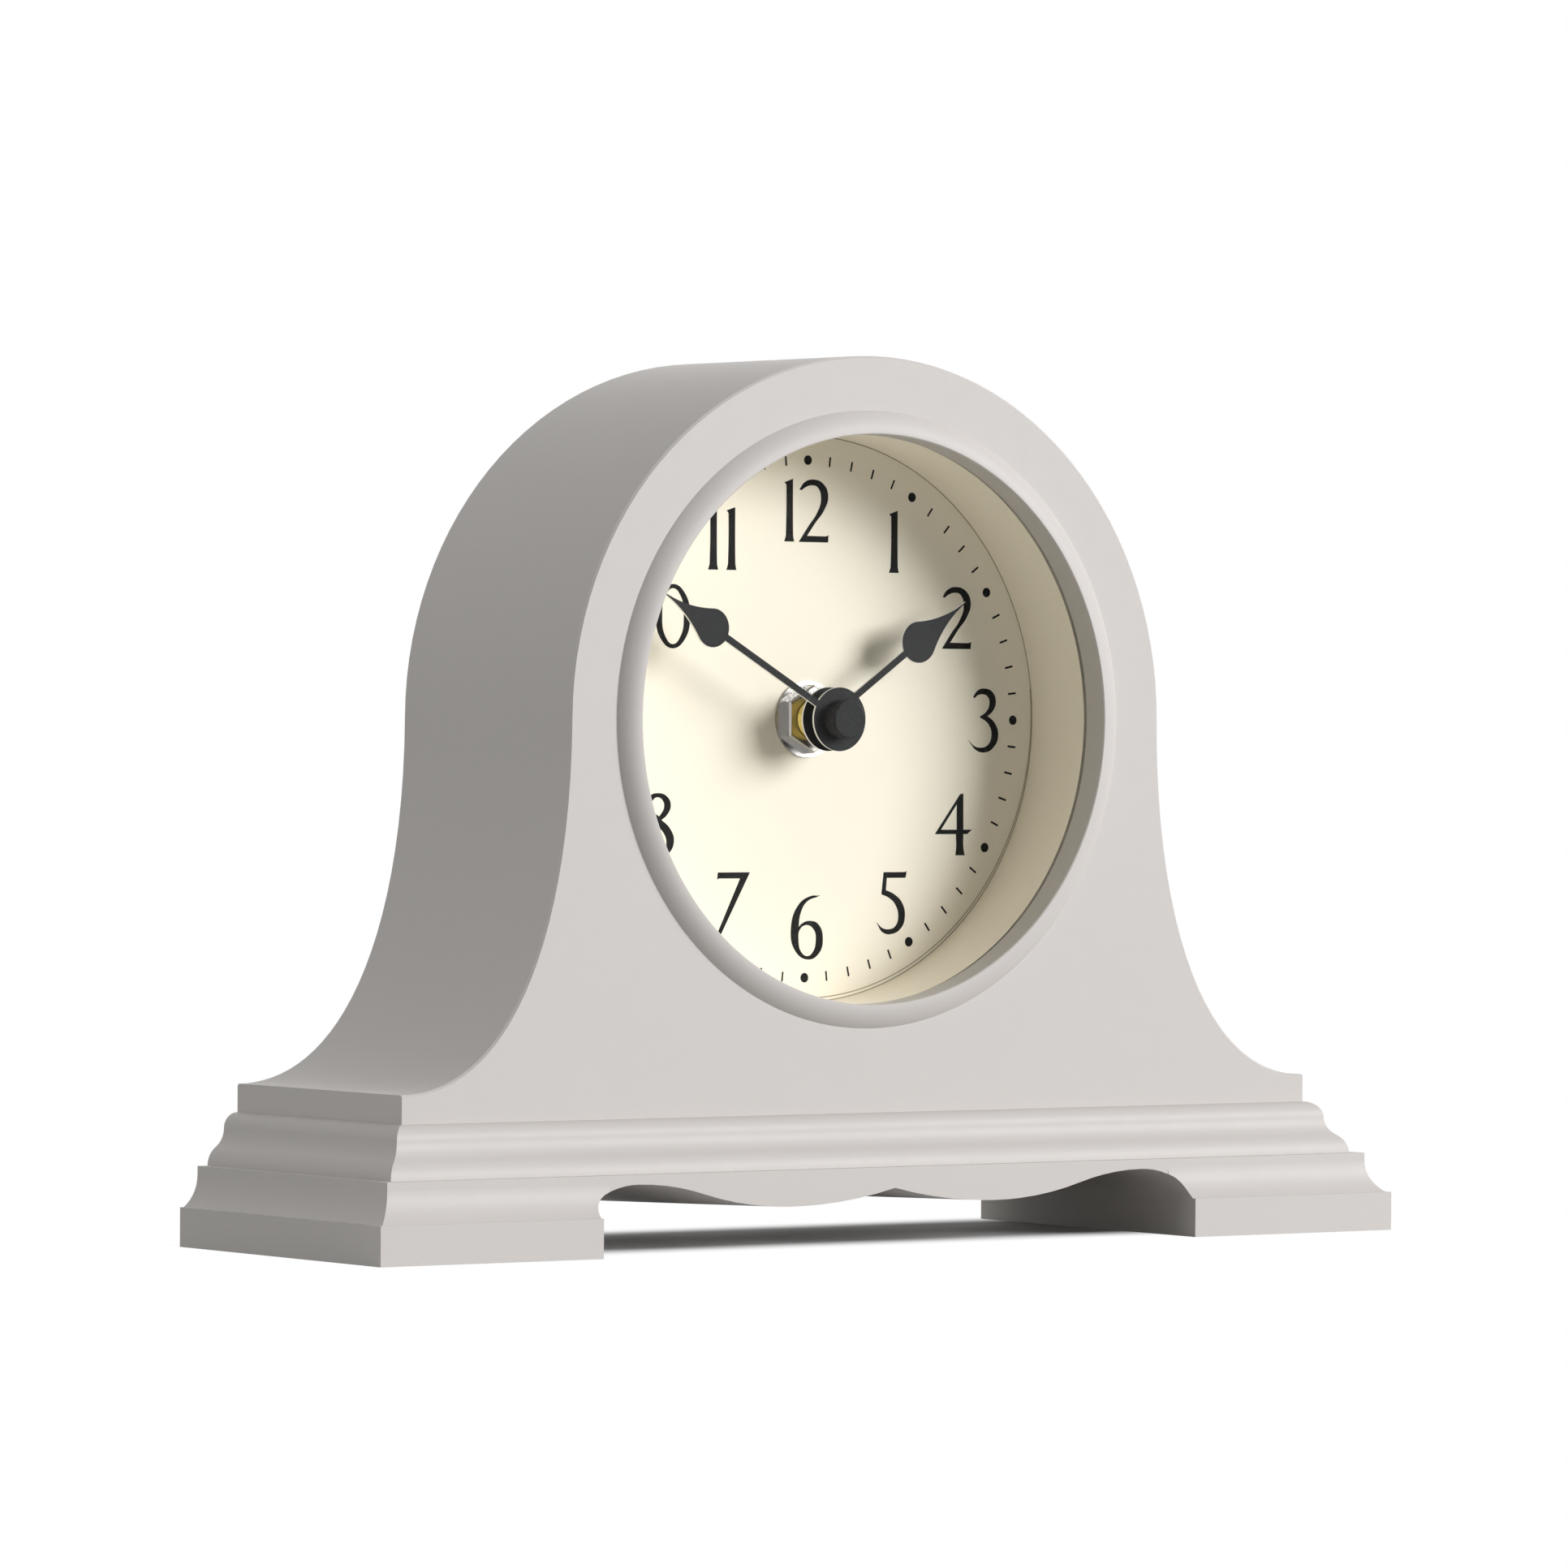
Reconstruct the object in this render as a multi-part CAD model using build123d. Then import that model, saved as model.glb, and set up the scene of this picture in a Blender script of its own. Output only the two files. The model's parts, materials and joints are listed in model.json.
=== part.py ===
from build123d import *
from math import cos, hypot, radians, sin
import os

# A painted wooden mantel clock: a round-headed body with flared sides on a moulded base, a glazed
# dial with teardrop hands, and a battery quartz movement behind the dial. Millimetres, +Z up, the
# dial faces -Y, and the origin is the middle of the footprint on the shelf.

# Case body, seen from the front
dial_height = 100.4
bore_radius = 57.5
crown_wall = 12.0
flare_width = 37.0
flare_reach = 24.1
flare_fall = 39.7
skirt_height = 5.4
body_depth = 57.0
body_edge_bevel = 0.4

# Base moulding and plinth: heights above the shelf and projections beyond the body
plinth_height = 15.2
moulding_height = 10.0
bead_radius = 3.0
ogee_projection = 6.6
plinth_top_projection = 8.8
cove_drop = 1.7
cove_projection = 11.8
plinth_projection = 12.6
foot_height = 7.5
foot_inner_half = 69.8
apron_shoulder_inset = 2.8
apron_shoulder_height = 11.75
apron_flat_inset = 1.0
apron_peak_inset = 7.5
apron_peak_height = 13.4
apron_turn_share = 0.58
apron_low_half = 24.1
apron_low_height = 8.3
apron_cusp_height = 11.25
apron_fall = 2.0

# Wood screws that hold the base, driven from underneath
screw_radius = 2.0
screw_head_radius = 4.0
screw_head_height = 2.2
screw_point_length = 4.0
screw_length = 34.0
screw_recess = 1.2
screw_half_spacing = 80.0
screw_inset = 12.5
screw_clearance = 0.1

# Pieces seated in the dial opening, from the front
seat_clearance = 0.15
bezel_lip = 1.7
bezel_wall = 2.9
bezel_rise = 2.5
bezel_nose_radius = 1.5
bezel_spigot = 3.4
lens_thickness = 1.5
dial_depth = 21.6
ring_wall = 2.7
dial_thickness = 2.5

# Hardware on the threaded bushing
cushion_radius = 10.0
cushion_thickness = 1.0
bushing_radius = 4.0
bushing_reach = 6.5
bushing_flange_radius = 5.5
bushing_flange_thickness = 0.8
washer_radius = 7.4
washer_thickness = 0.5
nut_across_flats = 11.5
nut_thickness = 2.2
nut_chamfer = 0.35
hole_clearance = 0.1

# Hands: heights are front faces above the dial, angles are clockwise from twelve
hand_thickness = 0.5
hand_hub_radius = 6.13
hand_bar_width = 1.35
hand_tip_width = 0.2
hour_hand_height = 7.5
hour_hand_length = 40.0
hour_bulb_place = 26.2
hour_bulb_radius = 4.0
hour_hand_angle = 55
minute_hand_height = 11.1
minute_hand_length = 48.0
minute_bulb_place = 34.5
minute_bulb_radius = 3.7
minute_hand_angle = -60
cap_radius = 3.7
cap_height = 3.4
cap_roof = 1.2
cap_edge_bevel = 0.3

# Battery cell and its bay
battery_radius = 7.25
battery_length = 50.5
battery_nub_radius = 2.75
battery_nub_length = 1.2
battery_edge_bevel = 0.6
battery_play = 0.3
contact_room = 1.55
contact_thickness = 0.4
contact_width = 6.0
contact_rise = 4.0
contact_bow_half = 4.5
contact_gap = 0.05

# Movement case, cover and train plate
movement_wall = 1.2
movement_front_wall = 1.4
movement_corner = 2.0
cover_thickness = 1.4
cover_rim_height = 1.2
cover_rim_wall = 1.0
fit_clearance = 0.15
plate_thickness = 1.4
post_radius = 1.6
boss_radius = 0.9
boss_height = 1.8
recess_room = 4.4

# Wheel work: tooth counts and modules
wheel_thickness = 0.8
wheel_gap = 0.4
pinion_overhang = 0.1
shoulder_play = 0.2
arbor_radius = 0.8
fine_arbor_radius = 0.6
pivot_radius = 0.35
pivot_depth = 0.6
running_clearance = 0.05
press_clearance = 0.02
cannon_teeth, minute_teeth, cannon_module = 10, 30, 0.54
minute_pinion_teeth, hour_teeth = 8, 32
third_pinion_teeth, centre_teeth, centre_module = 6, 48, 0.39
seconds_pinion_teeth, third_teeth = 6, 45
intermediate_pinion_teeth, seconds_teeth, seconds_module = 6, 36, 0.40
rotor_teeth, intermediate_teeth, rotor_module = 6, 30, 0.33
minute_wheel_bearing = 180
third_wheel_bearing = 0
intermediate_wheel_bearing = 105
rotor_bearing = 100
addendum_share = 0.8
dedendum_share = 1.1
tooth_tip_share = 0.10
tooth_root_share = 0.25
hour_pipe_radius = 2.5
minute_arbor_radius = 1.6
minute_tip_radius = 1.2
arbor_lead = 0.4
centre_hub_radius = 2.4
centre_seat_radius = 1.2

# Step motor, circuit and setting knob
magnet_radius = 3.0
magnet_thickness = 2.0
air_gap = 0.35
stator_thickness = 1.0
stator_web = 0.85
stator_leg_width = 4.5
coil_length = 21.0
coil_radius = 3.6
coil_gap = 0.6
core_thickness = 1.0
core_width = 3.0
bobbin_wall = 0.5
bobbin_flange = 0.8
winding_inset = 0.3
board_thickness = 1.0
board_gap = 0.8
board_room = 2.0
chip_radius = 2.6
chip_height = 0.9
chip_share = 0.32
crystal_radius = 1.5
crystal_length = 8.0
crystal_share = 0.78
knob_radius = 6.0
knob_thickness = 2.6
knob_gap = 0.5
knob_ribs = 24
knob_web = 0.8

# One overrun serves every cut
overrun = 1.0

# Case heights and half widths
body_bottom = plinth_height + moulding_height
skirt_top = body_bottom + skirt_height
arch_radius = bore_radius + crown_wall
skirt_half_width = arch_radius + flare_width
overall_height = dial_height + arch_radius
plinth_half_width = skirt_half_width + plinth_projection
apron_shoulder_half = foot_inner_half - apron_shoulder_inset
apron_flat_half = apron_shoulder_half - apron_flat_inset
apron_peak_half = apron_shoulder_half - apron_peak_inset

# Wheel centres about the hand axis, as seen from the front
hour_module = cannon_module * (cannon_teeth + minute_teeth) / (minute_pinion_teeth + hour_teeth)
third_module = centre_module * (third_pinion_teeth + centre_teeth) / (seconds_pinion_teeth + third_teeth)


def step_from(start, first_teeth, second_teeth, module, bearing):
    """Place of a wheel that meshes with the one at start, along a bearing."""
    distance = module * (first_teeth + second_teeth) / 2
    return (start[0] + distance * cos(radians(bearing)), start[1] + distance * sin(radians(bearing)))


hand_axis = (0, 0)
minute_place = step_from(hand_axis, cannon_teeth, minute_teeth, cannon_module, minute_wheel_bearing)
third_place = step_from(hand_axis, centre_teeth, third_pinion_teeth, centre_module, third_wheel_bearing)
intermediate_place = step_from(
    hand_axis, seconds_teeth, intermediate_pinion_teeth, seconds_module, intermediate_wheel_bearing
)
rotor_place = step_from(intermediate_place, intermediate_teeth, rotor_teeth, rotor_module, rotor_bearing)
third_tip_radius = third_module * (third_teeth / 2 + addendum_share)

# Movement box about the hand axis
stator_hole_radius = magnet_radius + air_gap
coil_place = rotor_place[1] + stator_hole_radius + stator_web + coil_gap + coil_radius
train_floor = -third_tip_radius - fit_clearance - board_gap
bay_top = train_floor - movement_wall
bay_bottom = bay_top - 2 * (battery_radius + battery_play)
battery_place = (bay_top + bay_bottom) / 2
movement_bottom = bay_bottom - movement_wall
train_ceiling = coil_place + coil_radius + coil_gap
movement_top = train_ceiling + movement_wall
inner_half = battery_length / 2 + contact_room
movement_half = inner_half + movement_wall
rear_bore_radius = hypot(movement_half, max(movement_top, -movement_bottom)) + recess_room

# Planes across the depth, from the front to the back
front_y = (plinth_projection - body_depth) / 2
back_y = front_y + body_depth
lens_front = front_y + bezel_spigot
lens_back = lens_front + lens_thickness
dial_front = front_y + dial_depth
dial_back = dial_front + dial_thickness
movement_front = dial_back + cushion_thickness
train_front = movement_front + movement_front_wall
hour_wheel_front = train_front + bushing_flange_thickness + wheel_gap
hour_wheel_back = hour_wheel_front + wheel_thickness
minute_wheel_front = hour_wheel_back + wheel_gap
minute_wheel_back = minute_wheel_front + wheel_thickness
centre_wheel_front = minute_wheel_back + wheel_gap
centre_wheel_back = centre_wheel_front + wheel_thickness
plate_front = centre_wheel_back + 2 * wheel_gap
plate_back = plate_front + plate_thickness
third_wheel_front = plate_back + wheel_gap
third_wheel_back = third_wheel_front + wheel_thickness
seconds_wheel_front = third_wheel_back + wheel_gap
seconds_wheel_back = seconds_wheel_front + wheel_thickness
intermediate_wheel_front = seconds_wheel_back + wheel_gap
intermediate_wheel_back = intermediate_wheel_front + wheel_thickness
cover_back = train_front + 2 * (battery_radius + battery_play)
cover_front = cover_back - cover_thickness
pivot_back = cover_front - boss_height + pivot_depth
knob_front = cover_back + knob_gap
knob_back = knob_front + knob_thickness
battery_axis_y = train_front + battery_play + battery_radius
stator_back = plate_back + stator_thickness
coil_axis_y = stator_back + core_thickness / 2
hour_hand_front = dial_front - hour_hand_height
minute_hand_front = dial_front - minute_hand_height


def facing(depth, height=dial_height):
    """Sketch plane at a depth, seen from the front: x right, y up, from a height on the centre line."""
    return Plane(origin=(0, depth, height), x_dir=(1, 0, 0), z_dir=(0, -1, 0))


def slab(sketch, front, back, height=dial_height):
    """Solid with an outline drawn in front view, between two depths."""
    return extrude(facing(back, height) * sketch, amount=back - front)


def rod(radius, front, back, place=hand_axis):
    return slab(Pos(*place) * Circle(radius), front, back)


def block(left, right, bottom, top, front, back):
    """Box between limits given in front view about the hand axis."""
    middle = Pos((left + right) / 2, (bottom + top) / 2)
    return slab(middle * Rectangle(right - left, top - bottom), front, back)


# Painted wooden case


def body_outline():
    """Round head, a hollow flare each side that runs out level, and a short upright skirt."""
    toe = (skirt_half_width, skirt_top)
    shoulder = (arch_radius, dial_height)
    toe_pull = (skirt_half_width - flare_reach, skirt_top)
    shoulder_pull = (arch_radius, dial_height - flare_fall)
    right = Line((skirt_half_width, body_bottom), toe)
    right += Bezier(toe, toe_pull, shoulder_pull, shoulder)
    head = ThreePointArc(shoulder, (0, overall_height), (-arch_radius, dial_height))
    bottom = Line((-skirt_half_width, body_bottom), (skirt_half_width, body_bottom))
    return make_face([*right.edges(), *mirror(right, about=Plane.YZ).edges(), head, bottom])


def case_body():
    body = slab(body_outline(), front_y, back_y, height=0)
    rims = body.edges().filter_by(Plane.XZ).filter_by(lambda edge: edge.center().Z > body_bottom)
    body = chamfer(rims.filter_by(lambda edge: edge.bounding_box().max.Z > skirt_top), body_edge_bevel)
    body -= rod(bore_radius, front_y - overrun, dial_back)
    body -= rod(rear_bore_radius, dial_back - overrun, back_y + overrun)
    return body - screw_holes()


def moulded_slab(profile, bottom_z, top_z):
    """Profile mitred round the front and both sides of a slab with a flat back.

    The profile runs from the top down, as projection beyond the body and height.
    """
    first, last = profile[0] @ 0, profile[-1] @ 1
    back_wall = [
        Line(last, (-body_depth, bottom_z)),
        Line((-body_depth, bottom_z), (-body_depth, top_z)),
        Line((-body_depth, top_z), first),
    ]
    side_view = Plane(origin=(0, front_y, 0), x_dir=(0, -1, 0), z_dir=(-1, 0, 0))
    along_front = extrude(side_view * make_face([*profile, *back_wall]), plinth_half_width, both=True)
    right = Pos(skirt_half_width, 0) * Curve(profile)
    width_top = skirt_half_width + first.X
    width_bottom = skirt_half_width + last.X
    across = make_face(
        [
            *right.edges(),
            *mirror(right, about=Plane.YZ).edges(),
            Line((-width_top, top_z), (width_top, top_z)),
            Line((-width_bottom, bottom_z), (width_bottom, bottom_z)),
        ]
    )
    along_sides = slab(across, front_y - plinth_projection, back_y, height=0)
    return along_front & along_sides


def base_moulding():
    bead_end = (bead_radius, body_bottom - bead_radius)
    ogee_end = (ogee_projection, plinth_height)
    turn = ((bead_end[0] + ogee_end[0]) / 2, (bead_end[1] + ogee_end[1]) / 2)
    bead = TangentArc((0, body_bottom), bead_end, tangent=(1, 0))
    hollow = TangentArc(bead_end, turn, tangent=(0, -1))
    swell = TangentArc(turn, ogee_end, tangent=hollow % 1)
    return moulded_slab([bead, hollow, swell], plinth_height, body_bottom) - screw_holes()


def plinth():
    """Coved feet on both sides of a flat apron board, all in one piece."""
    cove_top = (plinth_top_projection, plinth_height - cove_drop)
    cove_end = (cove_projection, foot_height)
    profile = [
        Line((plinth_top_projection, plinth_height), cove_top),
        TangentArc(cove_top, cove_end, tangent=(0, -1)),
        Line(cove_end, (plinth_projection, foot_height)),
        Line((plinth_projection, foot_height), (plinth_projection, 0)),
    ]
    feet = moulded_slab(profile, 0, plinth_height)
    middle = Pos(0, plinth_height / 2) * Rectangle(2 * apron_flat_half, plinth_height)
    feet -= slab(middle, front_y - plinth_projection, back_y, height=0)
    apron = slab(middle, front_y - plinth_top_projection, back_y, height=0)
    return feet + apron - apron_opening() - screw_holes()


def apron_opening():
    """Shaped cut between the feet, which falls a little from the front of the apron to the back."""
    peak = Vector(apron_peak_half, apron_peak_height)
    low = Vector(apron_low_half, apron_low_height)
    turn = low + (peak - low) * apron_turn_share
    shoulder = (apron_shoulder_half, apron_shoulder_height)
    foot = (foot_inner_half, foot_height)
    wave = TangentArc(low, turn, tangent=(1, 0))
    crest = TangentArc(peak, shoulder, tangent=(1, 0))
    right = Line((foot_inner_half, -overrun), foot)
    right += TangentArc(shoulder, foot, tangent=crest % 1)
    right += crest
    right += TangentArc(turn, peak, tangent=wave % 1)
    right += wave
    right += TangentArc(low, (0, apron_cusp_height), tangent=(-1, 0))
    floor = Line((-foot_inner_half, -overrun), (foot_inner_half, -overrun))
    outline = make_face([*right.edges(), *mirror(right, about=Plane.YZ).edges(), floor])
    apron_front = front_y - plinth_top_projection
    fall = Vector(0, back_y - apron_front, -apron_fall)
    back = fall * ((back_y + overrun - apron_front) / fall.Y)
    front = fall * ((plinth_projection - plinth_top_projection + overrun) / fall.Y)
    start = Pos(-front) * (facing(apron_front, height=0) * outline)
    return extrude(start, amount=(front + back).length, dir=fall)


def screw_places():
    return [
        Pos(side * screw_half_spacing, depth, screw_recess)
        for side in (-1, 1)
        for depth in (front_y + screw_inset, back_y - screw_inset)
    ]


def screw_solid(grow):
    """Countersunk screw standing on its head, or its hole when grown."""
    shoulder = screw_length - screw_point_length
    section = Polyline(
        (0, 0),
        (screw_head_radius + grow, 0),
        (screw_radius + grow, screw_head_height + grow),
        (screw_radius + grow, shoulder + grow),
        (0, screw_length + grow),
        close=True,
    )
    return revolve(Plane.XZ * make_face(section), axis=Axis.Z)


def base_screws():
    screw = screw_solid(0)
    return Compound(children=[place * screw for place in screw_places()])


def screw_holes():
    mouth = Cylinder(
        screw_head_radius + screw_clearance,
        screw_recess + overrun,
        align=(Align.CENTER, Align.CENTER, Align.MAX),
    )
    hole = screw_solid(screw_clearance) + mouth
    return [place * hole for place in screw_places()]


# Dial opening


def bezel():
    """Turned ring: a flattened quarter round outside, a plain wall inside, and a spigot in the bore."""
    outer = bore_radius + bezel_lip
    inner = bore_radius - bezel_wall
    spigot = bore_radius - seat_clearance
    crest = front_y - bezel_rise
    run = outer - inner - bezel_nose_radius
    slope_radius = (run**2 + bezel_rise**2 - bezel_nose_radius**2) / (2 * (bezel_rise - bezel_nose_radius))
    slope_centre = Vector(inner, crest + slope_radius)
    nose_centre = Vector(outer - bezel_nose_radius, front_y)
    towards_nose = (nose_centre - slope_centre).normalized()
    slope = TangentArc((inner, crest), slope_centre + towards_nose * slope_radius, tangent=(1, 0))
    nose = TangentArc(slope @ 1, (outer, front_y), tangent=slope % 1)
    rest = Polyline(
        (outer, front_y), (spigot, front_y), (spigot, lens_front), (inner, lens_front), (inner, crest)
    )
    section = Pos(0, 0, dial_height) * make_face([slope, nose, *rest.edges()])
    return revolve(section, axis=Axis((0, 0, dial_height), (0, 1, 0)))


def lens():
    return rod(bore_radius - seat_clearance, lens_front, lens_back)


def dial_ring():
    wall = rod(bore_radius - seat_clearance, lens_back, dial_front)
    return wall - rod(bore_radius - ring_wall, lens_back - overrun, dial_front + overrun)


def dial():
    plate = rod(bore_radius - seat_clearance, dial_front, dial_back)
    return plate - rod(bushing_radius + hole_clearance, dial_front - overrun, dial_back + overrun)


# Hardware on the bushing


def bushing():
    tube = rod(bushing_radius, dial_front - bushing_reach, train_front)
    tube += rod(bushing_flange_radius, train_front, train_front + bushing_flange_thickness)
    bore = rod(hour_pipe_radius + running_clearance, dial_front - bushing_reach - overrun, hour_wheel_front)
    return tube - bore


def bushing_ring(radius, front, back):
    """Round piece that slips over the bushing."""
    return rod(radius, front, back) - rod(bushing_radius + hole_clearance, front - overrun, back + overrun)


def cushion_washer():
    return bushing_ring(cushion_radius, dial_back, movement_front)


def dial_washer():
    return bushing_ring(washer_radius, dial_front - washer_thickness, dial_front)


def hex_nut():
    back = dial_front - washer_thickness
    front = back - nut_thickness
    hexagon = Rot(0, 0, 30) * RegularPolygon(nut_across_flats / 2, 6, major_radius=False)
    nut = slab(hexagon, front, back)
    nut = chamfer(nut.faces().sort_by(Axis.Y)[0].edges(), nut_chamfer)
    return nut - rod(bushing_radius + hole_clearance, front - overrun, back + overrun)


# Hands


def teardrop_hand(length, bulb_place, bulb_radius, angle, hole_radius, front):
    """Flat hand: hub disc, straight bar, and a round bulb drawn out to a point by two hollow flanks."""
    tip = hand_tip_width / 2
    reach = length - bulb_place
    flank_radius = (reach**2 + tip**2 - bulb_radius**2) / (2 * (bulb_radius - tip))
    share = bulb_radius / (bulb_radius + flank_radius)
    meeting = (share * (flank_radius + tip), bulb_place + share * reach)
    flank = TangentArc((tip, length), meeting, tangent=(0, -1))
    bulb = ThreePointArc(meeting, (0, bulb_place - bulb_radius), (-meeting[0], meeting[1]))
    point = Line((-tip, length), (tip, length))
    leaf = make_face([flank, bulb, *mirror(flank, about=Plane.YZ).edges(), point])
    bar = Pos(0, bulb_place / 2) * Rectangle(hand_bar_width, bulb_place)
    outline = Circle(hand_hub_radius) + bar + leaf - Circle(hole_radius)
    return slab(Rot(0, 0, -angle) * outline, front, front + hand_thickness)


def hour_hand():
    hole = hour_pipe_radius + press_clearance
    return teardrop_hand(
        hour_hand_length, hour_bulb_place, hour_bulb_radius, hour_hand_angle, hole, hour_hand_front
    )


def minute_hand():
    hole = minute_tip_radius + press_clearance
    return teardrop_hand(
        minute_hand_length, minute_bulb_place, minute_bulb_radius, minute_hand_angle, hole, minute_hand_front
    )


def hand_cap():
    """Closed cap nut on the end of the minute arbor."""
    front = minute_hand_front - cap_height
    cap = rod(cap_radius, front, minute_hand_front)
    cap = chamfer(cap.faces().sort_by(Axis.Y)[0].edges(), cap_edge_bevel)
    return cap - rod(minute_tip_radius + press_clearance, front + cap_roof, minute_hand_front + overrun)


# Wheels


def gear(teeth, module, tooth_bearing, place=hand_axis):
    """Toothed outline with one tooth centred on a bearing."""
    tip = module * (teeth / 2 + addendum_share)
    root = module * (teeth / 2 - dedendum_share)
    corners = [
        (root, -tooth_root_share),
        (tip, -tooth_tip_share),
        (tip, tooth_tip_share),
        (root, tooth_root_share),
    ]
    points = []
    for tooth in range(teeth):
        for radius, share in corners:
            angle = radians(tooth_bearing + (tooth + share) * 360 / teeth)
            points.append((radius * cos(angle), radius * sin(angle)))
    return Pos(*place) * make_face(Polyline(*points, close=True))


def gap_bearing(teeth, bearing):
    """Bearing of a tooth beside the gap that faces a wheel on the given bearing."""
    return bearing + 180 + 180 / teeth


def pinion(teeth, module, tooth_bearing, front, back, place=hand_axis):
    """Pinion a little longer than the wheel that it meshes with."""
    return slab(gear(teeth, module, tooth_bearing, place), front - pinion_overhang, back + pinion_overhang)


def minute_arbor():
    """Cannon pinion, the friction seat of the centre wheel, and the arbor that carries the minute hand."""
    hand_back = minute_hand_front + hand_thickness
    arbor = rod(minute_arbor_radius, hand_back, minute_wheel_front)
    arbor += rod(minute_tip_radius, minute_hand_front - cap_height + cap_roof + arbor_lead, hand_back)
    arbor += pinion(cannon_teeth, cannon_module, minute_wheel_bearing, minute_wheel_front, minute_wheel_back)
    arbor += rod(centre_seat_radius, minute_wheel_back, plate_front - running_clearance)
    return arbor + rod(arbor_radius, plate_front - running_clearance, plate_front + pivot_depth)


def hour_wheel():
    wheel = slab(
        gear(hour_teeth, hour_module, gap_bearing(hour_teeth, minute_wheel_bearing + 180)),
        hour_wheel_front,
        hour_wheel_back,
    )
    pipe_front = hour_hand_front - arbor_lead
    wheel += rod(hour_pipe_radius, pipe_front, hour_wheel_back)
    pipe_bore = minute_arbor_radius + running_clearance
    return wheel - rod(pipe_bore, pipe_front - overrun, hour_wheel_back + overrun)


def minute_wheel():
    """Wheel and pinion on the long arbor that the setting knob is pressed on."""
    facing_wheel = gap_bearing(minute_teeth, minute_wheel_bearing)
    wheel = slab(
        gear(minute_teeth, cannon_module, facing_wheel, minute_place), minute_wheel_front, minute_wheel_back
    )
    facing_hour = minute_wheel_bearing + 180
    wheel += pinion(
        minute_pinion_teeth, hour_module, facing_hour, hour_wheel_front, hour_wheel_back, minute_place
    )
    wheel += rod(arbor_radius, hour_wheel_front, knob_back - knob_web, minute_place)
    return wheel + rod(pivot_radius, train_front - pivot_depth, hour_wheel_front, minute_place)


def centre_wheel():
    """Last wheel of the going train, with a hub that slips on the minute arbor."""
    wheel = slab(
        gear(centre_teeth, centre_module, gap_bearing(centre_teeth, third_wheel_bearing + 180)),
        centre_wheel_front,
        centre_wheel_back,
    )
    wheel += rod(centre_hub_radius, centre_wheel_front, plate_front - wheel_gap)
    bore = rod(centre_seat_radius + running_clearance, minute_wheel_back, plate_back)
    return wheel - bore


def arbor(place, front, back):
    """Turned arbor with a fine pivot at each end."""
    shoulder = pivot_depth + shoulder_play
    body = rod(fine_arbor_radius, front + shoulder, back - shoulder, place)
    return body + rod(pivot_radius, front, back, place)


def third_wheel():
    wheel = slab(
        gear(third_teeth, third_module, gap_bearing(third_teeth, third_wheel_bearing), third_place),
        third_wheel_front,
        third_wheel_back,
    )
    wheel += pinion(
        third_pinion_teeth,
        centre_module,
        third_wheel_bearing + 180,
        centre_wheel_front,
        centre_wheel_back,
        third_place,
    )
    return wheel + arbor(third_place, minute_wheel_front, pivot_back)


def seconds_wheel():
    wheel = slab(
        gear(seconds_teeth, seconds_module, gap_bearing(seconds_teeth, intermediate_wheel_bearing + 180)),
        seconds_wheel_front,
        seconds_wheel_back,
    )
    wheel += pinion(
        seconds_pinion_teeth, third_module, third_wheel_bearing, third_wheel_front, third_wheel_back
    )
    return wheel + arbor(hand_axis, plate_back - pivot_depth, pivot_back)


def intermediate_wheel():
    facing_rotor = gap_bearing(intermediate_teeth, rotor_bearing + 180)
    wheel = slab(
        gear(intermediate_teeth, rotor_module, facing_rotor, intermediate_place),
        intermediate_wheel_front,
        intermediate_wheel_back,
    )
    wheel += pinion(
        intermediate_pinion_teeth,
        seconds_module,
        intermediate_wheel_bearing + 180,
        seconds_wheel_front,
        seconds_wheel_back,
        intermediate_place,
    )
    return wheel + arbor(intermediate_place, plate_back - pivot_depth, pivot_back)


def rotor():
    """Magnet with its pinion."""
    magnet_front = plate_back + wheel_gap
    magnet = rod(magnet_radius, magnet_front, magnet_front + magnet_thickness, rotor_place)
    magnet += pinion(
        rotor_teeth,
        rotor_module,
        rotor_bearing + 180,
        intermediate_wheel_front,
        intermediate_wheel_back,
        rotor_place,
    )
    return magnet + arbor(rotor_place, plate_back - pivot_depth, pivot_back)


def pivot_hole(place, front, back):
    """Blind or through hole that a fine pivot runs in."""
    return rod(pivot_radius + running_clearance, front, back, place)


# Movement case


def movement_outline():
    middle = Pos(0, (movement_top + movement_bottom) / 2)
    return middle * RectangleRounded(2 * movement_half, movement_top - movement_bottom, movement_corner)


def post_places():
    reach = inner_half - contact_thickness - fit_clearance - post_radius
    return [
        (side * reach, height)
        for side in (-1, 1)
        for height in (train_floor + post_radius, train_ceiling - post_radius)
    ]


def contact_slots():
    """Notches in the divider that the contact strips pass through."""
    half = contact_width / 2 + fit_clearance
    return [
        block(
            min(side * inner_half, side * (inner_half - contact_thickness - fit_clearance)),
            max(side * inner_half, side * (inner_half - contact_thickness - fit_clearance)),
            bay_top - overrun,
            train_floor + overrun,
            battery_axis_y - half,
            battery_axis_y + half,
        )
        for side in (-1, 1)
    ]


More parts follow.
